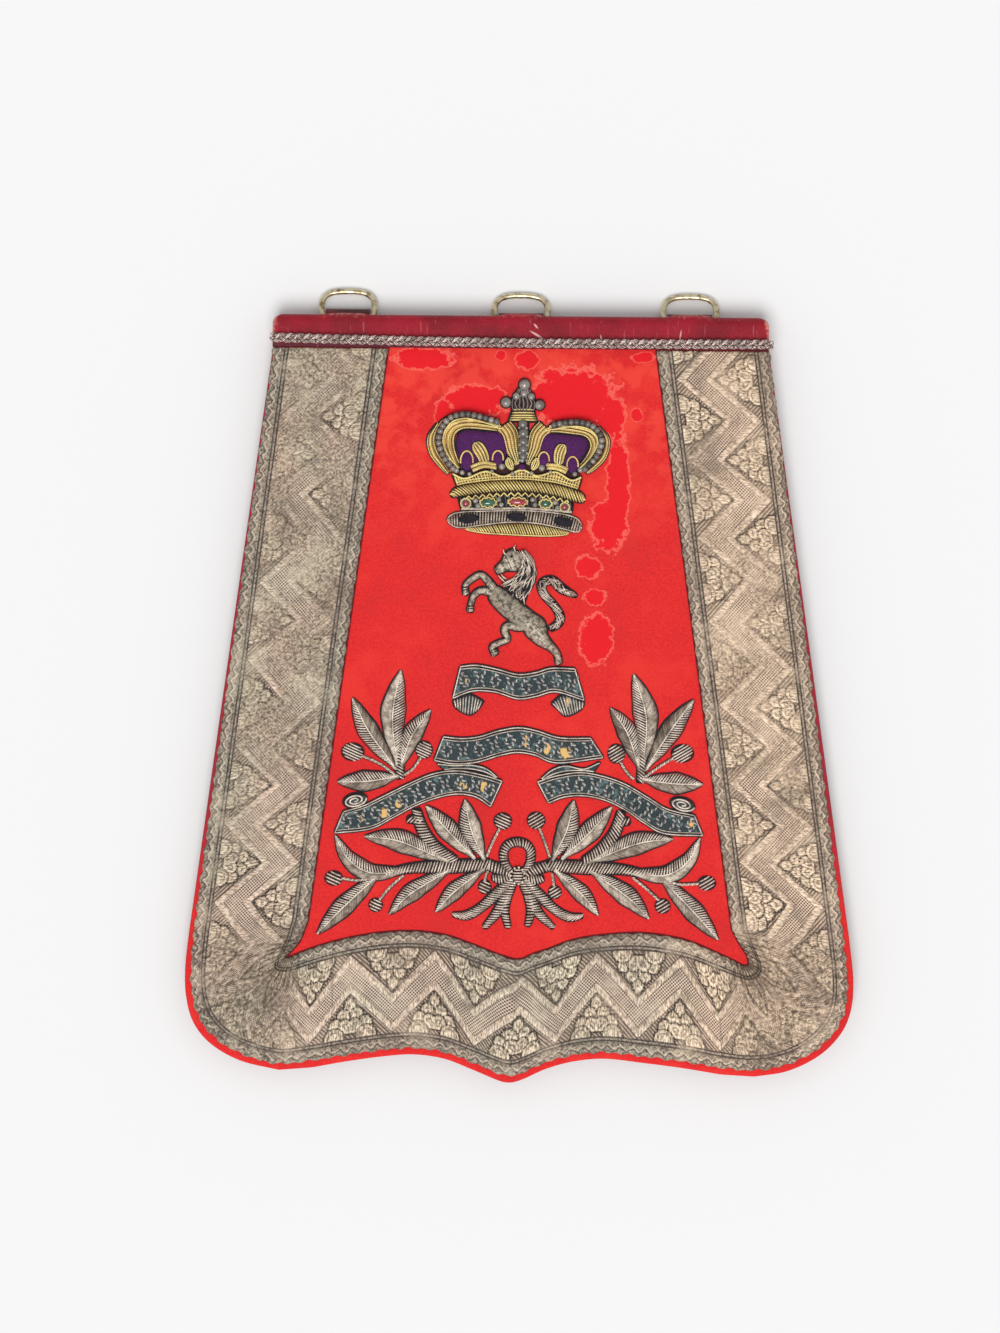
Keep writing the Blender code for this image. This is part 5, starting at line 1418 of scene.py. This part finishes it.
horse = {
    "head": ([(-10.6, 111.6), (-7.4, 108.2), (-6.2, 105.2), (-2.6, 103), (-0.4, 104.4)],
        [(-9.4, 114.6), (-5.6, 113), (-3.4, 112.8), (-0.6, 112.8), (1.2, 110.6)]),
    "mane": ([(-1, 104.2), (0.2, 107.4), (0.6, 110.8), (-1, 114), (-4, 116.4), (-7.8, 118.8)],
        [(3.4, 103.6), (7, 108), (8.4, 113.4), (7.6, 118.2), (4.8, 123.4), (3.3, 127.6)]),
    "body": ([(-11.4, 121.4), (-13.2, 125.2), (-9, 130.6), (-3, 135.8), (2, 138.8), (5, 141.6)],
        [(-8.8, 119.8), (-3.5, 122.9), (3, 128.2), (6.8, 131.4), (11.6, 134.8), (13.2, 140)]),
    "legs": [([(-9.2, 123), (-11.8, 119.6), (-14.2, 116.6), (-17, 114.7), (-21, 116.9), (-23.6, 119.8),
          (-23.2, 123.6)], [3.2, 3.4, 2.8, 2.5, 2.3, 2.2, 2.6]),
        ([(-8.6, 125.6), (-12, 122.8), (-16.4, 121.7), (-19.6, 123.8), (-21, 127.6), (-21.4, 131.2)],
         [3.6, 3.2, 2.6, 2.4, 2.2, 2.8]),
        ([(5, 136.8), (0, 138), (-4.6, 137.2), (-6, 139.6), (-4.6, 143.2), (-8.2, 144.9),
          (-11.4, 146.8), (-9.8, 150.2)], [3.6, 3, 2.8, 3, 2.4, 2.2, 2.4, 3.2]),
        ([(4.2, 134.6), (7.2, 138.4), (10.6, 143), (14.4, 146.2), (17.4, 149.6), (18.4, 154)],
         [6.4, 9.2, 6.4, 3.8, 2.8, 2.8])],
    "tail": ([(14.2, 138.6), (17.8, 136.2), (18.6, 132.6), (15.8, 128), (11.6, 123.4), (10.2, 119.4),
         (12.4, 117.2), (15.6, 117.2), (19.4, 120.6), (25.8, 123.8)],
        [2.2, 3.2, 3.4, 3, 3.2, 3.4, 3.4, 3.4, 3.8, 1.4]),
    "eye": (-3.2, 106.6), "nostril": (-9.2, 111.6),
    "wisps": [[(-1.4, 104.6), (-2, 102.4), (-1.2, 101.2)], [(-4.6, 106.4), (-6.4, 105), (-6.8, 103.2)],
        [(-9.2, 114.8), (-7.6, 116.4), (-6, 118)], [(-7.8, 114.4), (-6.6, 115.8), (-5.2, 116.6)],
        [(-3.4, 116.6), (-7.8, 119.4)], [(-1, 119.6), (-2.6, 124.2)], [(2, 122), (2.8, 127.8)]],
    # how high the parts stand off the cloth, the fourth leg being worked as a thigh
    "legHeights": (1.9, 1.9, 1.9, 3.3), "bodyHeight": 3.0, "headHeight": 2.5, "maneHeight": 2.5,
    "tailHeight": 1.6,
    "maneHairs": 76, "tailHairs": 110,
    # dark lines where each hoof begins: (x, down) of both ends
    "hooves": [((-24.9, 120.6), (-22.1, 120.2)), ((-22.3, 128.8), (-19.8, 128.6)),
        ((-11.8, 148.2), (-8.6, 147.4)), ((16.6, 151.2), (19.4, 150.6))],
    "mouth": [(-10.4, 113), (-8.2, 112.6), (-6.4, 112.2)],
}


# The horse: floss laid close across legs, body and head, short wires strewn over mane and tail.
def makeHorse():
    silver, floss, pads, cords, ground = (Gathered() for _ in range(5))
    for (spine, widths), height in zip(horse["legs"], horse["legHeights"]):
        edges = edgesOf(spine, widths, 50)
        workStrip(pads, floss, edges, height, 0.52, 0.31, -0.9, shade=(0.5, 0.9))
        edgeCord(cords, edges)
    trunk = drawnEdges(horse["body"])
    workStrip(pads, floss, trunk, horse["bodyHeight"], 0.5, 0.32, -1.2, points=12, shade=(0.25, 0.5))
    edgeCord(cords, trunk)
    head = drawnEdges(horse["head"])
    workStrip(pads, floss, head, horse["headHeight"], 0.5, 0.32, 0.8, points=8, shade=(0.2, 1.0))
    edgeCord(cords, head)
    mane = drawnEdges(horse["mane"])
    ground.pad(*mane, horse["maneHeight"])
    hair = tapered(0.27, 5, 0.4, 0.3)
    count = horse["maneHairs"]
    silver.lay(layShort(*mane, count, 5.4, 0.16, 2.7), hair, 5, rng.uniform(0.2, 1, count))
    tail = edgesOf(*horse["tail"], 80)
    ground.pad(*tail, horse["tailHeight"])
    count = horse["tailHairs"]
    silver.lay(layShort(*tail, count, 3.0, 0.7, 1.9), hair, 5, rng.uniform(0.1, 1, count))
    edgeCord(cords, tail)
    for wisp in horse["wisps"]:
        line = smoothLine(wisp, 6)
        silver.wire(line, 15.2, tapered(0.42, len(line), 0.2, 0.5), 5, 0.8)
        cords.wire(beside(line, 0.55), 14.2, tapered(0.3, len(line), 0.3, 0.5), 4, 0.4)
    for start, end in horse["hooves"]:
        line = np.linspace(start, end, 6)
        arc = 15.0 + 0.55 * np.sin(np.linspace(0, 1, 6) * math.pi)
        cords.wire(line, arc, fineWire, 5, 0.3)
        cords.wire(line + (0, 1.1), arc, 0.2, 5, 0.3)
    cords.wire(smoothLine(horse["mouth"], 6), 15.2, 0.26, 5, 0.3)
    layBeads(cords, [(*horse["eye"], 16.0), (*horse["nostril"], 15.1)], [0.6, 0.4])
    silver.piece("horse_hair", silverThread, ["horse_mane", "horse_tail"], slot="silver_wire")
    floss.piece("horse_floss", silverFloss, ["horse_head", "horse_body"], slot="silver_wire")
    pads.piece("horse_padding", paddingYarn, slot="silver_wire")
    ground.piece("horse_ground", navyCord, slot="silver_wire")
    cords.piece("horse_outline", navyCord, slot="silver_wire")


makeHorse()
print("horse")


# Scrolls

scrolls = {
    "ribbons": {
        "scroll_upper": ([(-25.3, 155.6), (-18, 155), (-9, 156.7), (0, 158.9), (8, 158), (15, 156),
             (25.4, 156.2)],
            [(-28.6, 169.6), (-20, 166.4), (-10, 166.7), (0, 169.6), (8, 168.6), (17, 166.4),
             (29.6, 170)]),
        "scroll_middle": ([(-32.6, 186.9), (-25, 187.6), (-17, 186.8), (-8, 184), (1, 182.6), (9, 184),
             (19, 186.9), (32.6, 187)],
            [(-36.6, 197.4), (-28, 198.8), (-18, 198), (-8, 195), (0, 193.5), (8, 194.6),
             (18, 198), (38.2, 195.5)]),
        "scroll_left": ([(-6.6, 206.4), (-14, 204.1), (-26, 202), (-37, 203.4), (-48, 208), (-60, 214),
             (-68, 217.9), (-76.8, 220.6)],
            [(-11.6, 217.6), (-18, 213.5), (-26, 212.2), (-35, 213.8), (-45, 217.6), (-55, 223),
             (-65, 228), (-80.6, 230)]),
        "scroll_right": ([(9.4, 206.6), (17, 204), (28, 202.3), (38, 203.8), (48, 207.2), (58, 212.9),
             (67, 218.2), (79.2, 221)],
            [(14.4, 215.8), (21, 213.2), (30, 212.5), (40, 214.6), (49, 219), (57, 224.4),
             (66, 229), (82.8, 229.8)]),
    },
    # turned ends and folds, worked solidly in cords
    "folds": {
        "scroll_upper_curl_left": ([(-28.6, 170.6), (-23, 168.6), (-20, 168.3), (-15, 171)],
            [(-28, 173.4), (-24.6, 175.8), (-20.6, 176.9), (-17.4, 174.6)]),
        "scroll_upper_curl_right": ([(15.2, 171.8), (19.4, 168.2), (23.4, 168.6), (29.8, 171)],
            [(18.6, 174.6), (21, 177), (25, 176.2), (29, 173.6)]),
        "scroll_left_fold": ([(-35.6, 198.8), (-28, 199.5), (-21, 199.2), (-14, 200.6), (-8.6, 204.6)],
            [(-31.6, 201.7), (-27, 201), (-20, 201.2), (-13.6, 202.7), (-9, 205)]),
        "scroll_right_fold": ([(11, 205), (16, 200.9), (22, 199.2), (30, 200.6), (37.2, 197.4)],
            [(11.5, 205.4), (17, 203), (23, 201.6), (29, 201.4), (34, 202.2)]),
    },
    "curls": {"scroll_left_curl": ((-71.8, 215.5), (5.2, 2.8), -14),
              "scroll_right_curl": ((73.8, 216.1), (5.4, 2.8), 14)},
    "stains": [(3.8, 188.5, 1.0, 2.6), (13.2, 191.5, 1.5, 2.5), (21.5, 193.5, 3, 2.3), (-14.5, 209, 1.5, 2.5),
               (-24, 208.5, 2, 1.5), (-52.3, 216.5, 1.5, 2), (-59, 221, 2, 2), (-69, 223.5, 1.5, 1.5),
               (77.8, 224, 1.5, 2), (-22.3, 162, 1, 2), (22.5, 171, 0.8, 2)],
    "height": 1.25, "foldHeight": 1.1, "curlHeight": 1.2, "ornamentPitch": 6.6,
}


# Teal silk, ribbed across, its threads worn pale and stained here and there.
def silkLook():
    look = Look("teal_silk", Roughness=0.62)
    place = look.coords()
    worn = look.spread(look.noise(0.24, 5, roughness=0.7), 0.53, 0.62)
    thread = look.noise(2.6, 3, look.coords((1000, 200, 1000)))
    colour = look.blend(thread, (16, 32, 38), (42, 62, 66))
    colour = look.over(colour, worn, (108, 138, 136), 0.7)
    ragged = look.scaled(look.noise(0.8, 4), 1.2, -0.6)
    for x, down, wide, tall in scrolls["stains"]:
        stain = look.oval(place, (x, down), (wide, tall), ragged, 0.16)
        colour = look.over(colour, stain, (236, 190, 116))
    ribs = look.calc("SINE", look.times(look.mark("run"), math.tau / 0.7))
    height = look.calc("ADD", look.times(ribs, 0.4), look.times(thread, 0.6))
    look.set(**{"Base Color": colour, "Normal": look.bump(height, 0.5, 0.00022), "Sheen Weight": 0.15})
    return look.material


# A ribbon's pad carries the run along it, for the ribs of its silk.
def ribbonPad(silk, first, second, height):
    across = 15
    spots, faces = padStrip(first, second, height, archFlat, across)
    silk.add(spots, faces, run=np.broadcast_to(runLength(first)[:, None], (len(first), across + 2)))


# A band of ornament along a ribbon, of twisted cords: lozenges and pairs of facing curves by turns.
def layOrnament(cords, first, second, level, pitch):
    middle = (first + second) / 2
    gape = np.linalg.norm(first - second, axis=1)
    count = int(runLength(middle)[-1] / pitch)
    shares = (np.arange(count) + 0.5) / count
    spots = along(np.column_stack([middle, squareTo(middle), gape]), shares)
    turn = np.linspace(-1, 1, 9)[:, None]
    for index, (x, down, nx, ny, tall) in enumerate(spots):
        across = np.array([nx, ny]) / math.hypot(nx, ny)
        ahead = np.array([across[1], -across[0]])
        reach = min(tall * 0.29, 3.4)
        if index % 2:
            apart = 0.9 + 1.5 * turn ** 2
            lines = [(x, down) + side * ahead * apart + across * reach * turn for side in (-1, 1)]
        else:
            apart = 1 - np.abs(turn)
            half = [(x, down) + side * ahead * 2.1 * apart + across * reach * turn for side in (-1, 1)]
            lines = [np.vstack([half[0], half[1][::-1]])]
        for line in lines:
            cords.lay(twisted(line, 0.4, 2.2, level), 0.44, 5, [1.0, 0.1])


# The written ribbons without their words: silk edged with silver and dark cords, ornament between.
def makeRibbons(silver, purl, cords, silkMaterial):
    for name, drawn in scrolls["ribbons"].items():
        silk = Gathered()
        first, second = drawnEdges(drawn, 90)
        ribbonPad(silk, first, second, scrolls["height"])
        silk.piece(name + "_silk", silkMaterial, [name], slot="teal_silk")
        level = stitchLevel + scrolls["height"]
        edgeCord(cords, (first, second), 0.5, 0.4)
        middle = (first + second) / 2
        for edge in (first, second):
            inward = (middle - edge) / np.linalg.norm(middle - edge, axis=1, keepdims=True)
            silver.wire(edge, level - 0.2, 0.32, 5, 1.0)
            cords.wire(edge + inward * 0.62, level, 0.26, 4, 0.4)
            silver.wire(edge + inward * 1.2, level, 0.26, 5, 0.6)
        for end in (0, -1):
            line = np.linspace(first[end], second[end], 24)
            silver.wire(line, level - 0.1, 0.32, 5, 1.0)
        layOrnament(purl, first, second, level + 0.1, scrolls["ornamentPitch"])


# Their turned ends and folds, with cords across or along them, and two curls, each a domed oval with a
# cord coiled inward twice round.
def makeFolds(silver, cords, silkMaterial):
    for name, drawn in scrolls["folds"].items():
        silk = Gathered()
        first, second = drawnEdges(drawn, 50)
        ribbonPad(silk, first, second, scrolls["foldHeight"])
        silk.piece(name + "_silk", silkMaterial, [name], slot="teal_silk")
        if "upper" in name:
            silver.lay(layAcross(first, second, 1.25, 0.5, 1.5, archFlat), 0.32, 5, 0.9)
        else:
            silver.lay(layAlong(first, second, 2, 1.5, archFlat, 50, inside=0.1), fineWire, 5, 0.9)
        edgeCord(cords, (first, second))
    for name, (centre, radii, turn) in scrolls["curls"].items():
        silk = Gathered()
        spots, faces = domeShell(centre, radii, scrolls["curlHeight"], turn, sides=30)
        silk.add(spots, faces, run=np.zeros(len(spots)))
        silk.piece(name + "_silk", silkMaterial, [name], slot="teal_silk")
        t = np.linspace(0, 1, 80)
        share = 1 - 0.86 * t
        angle = t * 2.3 * math.tau
        coil = onOval(centre, radii, turn, np.cos(angle) * share, np.sin(angle) * share)
        silver.wire(coil, 14.3 + 0.9 * t, 0.42, 6, 0.9)
        layOutline(cords, ovalLine(centre, radii, turn), 0.4)


# All the scrolls, their cords gathered by kind.
def makeScrolls():
    silkMaterial = silkLook()
    silver, purl, cords = Gathered(), Gathered(), Gathered()
    makeRibbons(silver, purl, cords, silkMaterial)
    makeFolds(silver, cords, silkMaterial)
    silver.piece("scroll_cords", silverThread, slot="silver_wire")
    purl.piece("scroll_ornament", dullSilver, slot="silver_wire")
    cords.piece("scroll_outline", navyCord, slot="teal_silk")


makeScrolls()
print("scrolls")


# Laurel

laurel = {
    # each spray: leaves from tip to base, their greatest width and the hatched side (1 is to the right
    # as one looks from the tip to the base); then stems with their widths
    "laurel_upper_left": ([([(-52, 157.5), (-55.4, 178), (-53.2, 200)], 10.4, -1),
         ([(-73.2, 170), (-66, 184.5), (-53.4, 201.5)], 8.8, 1),
         ([(-38.6, 175.2), (-47, 187), (-51.6, 201.5)], 8.2, 1),
         ([(-79.6, 207.4), (-66, 206.8), (-52.2, 204.6)], 8.6, -1)],
        [([(-52.6, 194), (-51.6, 205.6)], [4, 3])]),
    "laurel_upper_right": ([([(51.8, 158.4), (57.4, 178), (56, 200)], 10.4, 1),
         ([(41.4, 173.6), (49, 184.5), (54.6, 201)], 8.4, -1),
         ([(78.2, 169.6), (68.4, 183), (57, 201)], 8.8, -1),
         ([(82.6, 207.2), (70, 206.8), (55.4, 205.2)], 9, 1)],
        [([(56, 194), (55, 206.4)], [4, 3])]),
    "laurel_lower_left": ([([(-80.6, 231.2), (-74.6, 241.4), (-64, 247.6), (-46, 246)], 7.8, -1),
         ([(-67.4, 231.6), (-52, 233.4), (-30, 242.4)], 9.4, -1),
         ([(-40.2, 217.8), (-31.2, 227.6), (-18.4, 241)], 8.6, -1),
         ([(-22.8, 214.8), (-20, 228), (-14, 241.4)], 9, 1),
         ([(-88, 275), (-76.6, 263), (-60, 247.6)], 8.2, -1),
         ([(-56, 266), (-46.6, 256.6), (-29, 246)], 7.6, -1),
         ([(-35.4, 264.8), (-27.2, 255.6), (-14, 245.6)], 7, -1)],
        [([(-48.4, 223.6), (-41.8, 224.4)], [3, 3]),
         ([(-44.6, 219.4), (-41.6, 228.5), (-36, 236), (-27, 242.2)], [3.6, 5, 5, 4]),
         ([(-11.4, 243.6), (-30, 244.6), (-46, 245.4), (-58, 248)], [4.6, 5.6, 4, 3])]),
    "laurel_lower_right": ([([(81.8, 231.2), (76.4, 241.4), (66, 247.6), (48, 246)], 7.8, 1),
         ([(69.6, 231.6), (54, 233.6), (32, 242.4)], 9.4, 1),
         ([(42.4, 217.6), (33.4, 228), (20.4, 241)], 8.6, 1),
         ([(25.4, 214.8), (22.4, 228), (16, 241.4)], 9, -1),
         ([(90, 276), (79.4, 264), (63.6, 248)], 8.4, 1),
         ([(59.2, 267), (50, 257.6), (33, 246)], 8.4, 1),
         ([(36.6, 265.6), (29.4, 256.4), (17, 245.6)], 7, 1)],
        [([(50.4, 223.6), (44, 225)], [3, 3]),
         ([(46.8, 219.6), (43.8, 229), (38, 236.4), (30, 242.2)], [3.6, 5, 5, 4]),
         ([(13.6, 243.6), (32, 244.6), (48, 245.4), (60, 248)], [4.6, 5.6, 4, 3])]),
}
laurelHeight = 2.1
berries = {
    "height": 2.3, "turnLeft": 24, "turnRight": -31,   # how the wires over the berries lie, in degrees
    # centre and half-size
    "places": [(-73, 194, 4.9, 3.7), (-41.3, 192.8, 3.6, 3.7), (44.2, 193.8, 3.6, 4.1),
        (73.6, 193.4, 4.9, 3.7),
        (-6, 224.2, 3.8, 3.4), (8.8, 223.8, 3.8, 3.5), (-81, 250.2, 3.8, 3), (85, 251, 3.8, 2.9),
        (-62.2, 262, 2.9, 2.8), (65.4, 261.4, 3.2, 3), (-13.8, 253.5, 2.6, 2.9), (17.4, 255.6, 2.7, 2.8)],
    "stalks": [[(-69, 195.6), (-61, 199), (-54, 204)], [(-42.6, 196), (-46, 201), (-50, 204)],
        [(46, 197.4), (49, 202), (52, 205)], [(69.6, 195.4), (63, 199.6), (57, 204)],
        [(-7.4, 227.4), (-10.6, 234), (-13, 240)], [(10.2, 227), (13, 234), (15, 240)],
        [(-77.4, 250.2), (-70, 251), (-62, 249.4)], [(81.4, 251.2), (73, 251.6), (66, 249.6)],
        [(-60.6, 259.6), (-56, 254), (-50, 248.6)], [(63.6, 258.8), (58, 253.6), (52, 248.8)],
        [(-13.8, 250.8), (-13.4, 248.6), (-12.6, 246.4)], [(17, 253), (16.6, 250), (16, 247)]],
}


# One leaf: open bright wires from the rib to a toothed edge on one half, close ones like satin on the
# other. It swells from its pointed tip as a rounded sine and narrows to its foot.
def workLeaf(pads, bright, matt, cords, spine, width, hatched):
    line = evenLine(smoothLine(spine, 20), 60)
    t = np.linspace(0, 1, 60)
    swell = np.sin(math.pi * np.clip(t, 0, 0.999) ** 0.87) ** 1.05
    wide = np.maximum(width * swell, np.where(t < 0.5, 0.4, 1.7)) * (1 + 0.04 * np.sin(t * 19))
    wide = wide[:, None]
    toothed, smooth = beside(line, hatched * (wide / 2 + 0.2)), beside(line, -hatched * wide / 2)
    rise = 0.45 + 0.55 * swell
    edge = beside(line, hatched * wide / 2)
    pads.pad(edge, smooth, laurelHeight * 0.74, archLeaf, 11, swell=rise)
    lean = -0.3 * width
    bright.lay(layAcross(line, toothed, 1.22, lean, laurelHeight, archHalf, swell=rise, jitter=0.05),
               tapered(0.33, 6, 0.7), 5, 0.95)
    satin = layAcross(line, smooth, 0.5, lean * 1.8, laurelHeight, archHalf, swell=rise)
    shade = np.clip(rng.uniform(0.1, 0.9) + rng.normal(0, 0.16, len(satin)), 0, 1)
    matt.lay(satin, tapered(0.3, 6, 0.6), 5, shade)
    rib = lifted(line, stitchLevel + laurelHeight * 0.5 * rise + 0.35)
    bright.lay(rib, tapered(0.4, 60, 0.5), 6, 1.0)
    dark = beside(line, -hatched * 0.62)
    cords.wire(dark, rib[:, 2] - 0.02, tapered(0.28, 60, 0.5), 4, 0.4)
    # the cord round the leaf is partly painted shadow, thicker on its upper left
    edgeCord(cords, (toothed, smooth), 0.2, 0.34)


# The sprays with their stems, and the berries on twisted stalks.
def makeLaurel():
    pads, cords = Gathered(), Gathered()
    for name, (leaves, stems) in laurel.items():
        bright, matt = Gathered(), Gathered()
        for spine, widths in stems:
            edges = edgesOf(spine, widths, 40)
            workStrip(pads, bright, edges, 1.9, 1.35, plainWire, 2.4)
            edgeCord(cords, edges)
        for leaf in leaves:
            workLeaf(pads, bright, matt, cords, *leaf)
        bright.piece(name + "_bright", silverThread, [name], slot="silver_wire")
        matt.piece(name + "_matt", silverMatte, slot="silver_wire")
    wires = Gathered()
    for x, down, wide, tall in berries["places"]:
        pads.add(*domeShell((x, down), (wide, tall), 1.9))
        turn = berries["turnLeft"] if x < 0 else berries["turnRight"]
        wires.lay(layOval((x, down), (wide, tall), berries["height"], turn, 1.22), plainWire, 5, 0.95)
        layOutline(cords, ovalLine((x, down), (wide, tall)), 0.15, 0.36)
    for stalk in berries["stalks"]:
        line = smoothLine(stalk, 10)
        wires.lay(twisted(line, 0.34, 2.1, clothLevel + 0.7), plainWire, 5, [1.0, 0.2])
        cords.wire(beside(line, 0.7), clothLevel + 0.25, 0.28, 4, 0.4)
    wires.piece("berry_wires", silverThread, [f"berry_{k + 1}" for k in range(len(berries["places"]))],
                slot="silver_wire")
    pads.piece("laurel_padding", paddingYarn, slot="silver_wire")
    cords.piece("laurel_outline", navyCord, slot="silver_wire")


makeLaurel()
print("laurel")


# Bow

bow = {
    "strands": [([(-1.6, 247), (-5, 242.6), (-5.4, 237.8), (-3.4, 234.6), (0.6, 233.4), (4.6, 234.6),
          (6.6, 237.8), (6.2, 242.6), (3.2, 247)], [2, 3.4, 3.6, 3.6, 3.6, 3.6, 3.6, 3.4, 2]),
        ([(-2.4, 248), (-7, 245.6), (-12.4, 243.8)], [2.8, 4.6, 4.6]),
        ([(-2, 249.4), (-6.6, 250), (-10.6, 249.2)], [2.6, 4.2, 2.4]),
        ([(4.4, 248), (9, 245.6), (14.6, 243.8)], [2.8, 4.6, 4.6]),
        ([(4, 249.4), (8.6, 250.2), (12.4, 249.4)], [2.6, 4.2, 2.4]),
        ([(-2, 250), (-8, 256), (-15, 262.4), (-21.6, 266.2), (-28, 266)], [2.6, 4.4, 3.8, 3.8, 1.6]),
        ([(4.4, 250), (11.4, 257.6), (17.6, 263.4), (24, 266.6), (30, 266)], [2.6, 4.4, 3.8, 3.8, 1.6]),
        ([(-0.6, 251), (-4, 257), (-8.4, 265), (-14, 271.8)], [2.6, 4.6, 4, 2]),
        ([(-3.8, 257.4), (-4.8, 264), (-3.2, 271.6)], [4, 3.6, 2.4]),
        ([(2.6, 251), (6, 257), (10.4, 265), (17, 271.4)], [2.6, 4.6, 4, 2]),
        ([(5.8, 257.4), (6.8, 264), (5.4, 270.8)], [4, 3.6, 2.4])],
    "height": 2.1,
    "tails": 5,   # the first of the strands that hangs free
    "knot": ((0.8, 248.3), (2.6, 3.2)),
}


# The bow: strands worked across, and a knot of parallel wires with beads round it.
def makeBow():
    silver, pads, cords = Gathered(), Gathered(), Gathered()
    for index, (spine, widths) in enumerate(bow["strands"]):
        edges = edgesOf(spine, widths, 50)
        lean = -0.9
        if index >= bow["tails"]:
            # wires of the tails lie level whichever way the tail runs
            ahead = np.gradient((edges[0] + edges[1]) / 2, axis=0)
            gape = np.linalg.norm(edges[0] - edges[1], axis=1)
            lean = gape * np.clip(ahead[:, 0] / np.maximum(ahead[:, 1], 0.01), -1.6, 1.6)
        workStrip(pads, silver, edges, bow["height"], 1.25, plainWire, lean)
        edgeCord(cords, edges, 0.15)
    centre, radii = bow["knot"]
    pads.add(*domeShell(centre, radii, 2.9))
    silver.lay(layOval(centre, radii, 3.3, 0, 1.2), plainWire, 5, 0.95)
    beadRow(silver, ovalLine(centre, (radii[0] + 0.5, radii[1] + 0.5)), 0.55, 1.9, 15.5, 1.0)
    layOutline(cords, ovalLine(centre, radii), 0.7)
    silver.piece("bow_wires", silverThread, ["bow"], slot="silver_wire")
    pads.piece("bow_padding", paddingYarn, slot="silver_wire")
    cords.piece("bow_outline", navyCord, slot="silver_wire")


makeBow()
print("bow")


# Floor, light and camera

studio = {
    "floorHalf": 3, "floorDrop": 0.0002,                       # metres
    "sun": 1.88, "sunSize": 32, "sunTilt": (26, 0, -8),        # strength, and degrees
    "sky": 0.55,
    "camera": (-0.00971, 0.0083, 1.8137), "roll": 0.5, "lens": 109.3, "sensor": 36,
}


# White paper under the part, a broad sun from the far side and an even sky.
def makeStage():
    paper = Look("paper", Roughness=0.9)
    paper.set(**{"Base Color": (0.86, 0.86, 0.86, 1)})
    mesh = bpy.data.meshes.new("floor")
    half = studio["floorHalf"]
    mesh.from_pydata([(-half, -half, 0), (half, -half, 0), (half, half, 0), (-half, half, 0)], [],
                     [(0, 1, 2, 3)])
    mesh.materials.append(paper.material)
    floor = bpy.data.objects.new("floor", mesh)
    floor.location.z = -studio["floorDrop"]
    bpy.context.scene.collection.objects.link(floor)
    lamp = bpy.data.lights.new("key", "SUN")
    lamp.energy = studio["sun"]
    lamp.angle = math.radians(studio["sunSize"])
    key = bpy.data.objects.new("key", lamp)
    key.rotation_euler = [math.radians(angle) for angle in studio["sunTilt"]]
    bpy.context.scene.collection.objects.link(key)
    world = bpy.data.worlds.new("studio")
    world.use_nodes = True
    sky = world.node_tree.nodes["Background"].inputs
    sky["Color"].default_value = (1, 1, 1, 1)
    sky["Strength"].default_value = studio["sky"]
    bpy.context.scene.world = world


# Straight down over the middle of the face, as the photograph was taken.
def makeCamera():
    lens = bpy.data.cameras.new("camera")
    lens.lens = studio["lens"]
    lens.sensor_width = studio["sensor"]
    camera = bpy.data.objects.new("camera", lens)
    camera.location = studio["camera"]
    camera.rotation_euler = (0, 0, math.radians(studio["roll"]))
    bpy.context.scene.collection.objects.link(camera)
    bpy.context.scene.camera = camera


makeStage()
makeCamera()
bpy.context.scene.view_settings.view_transform = "Standard"
print("floor, light and camera")
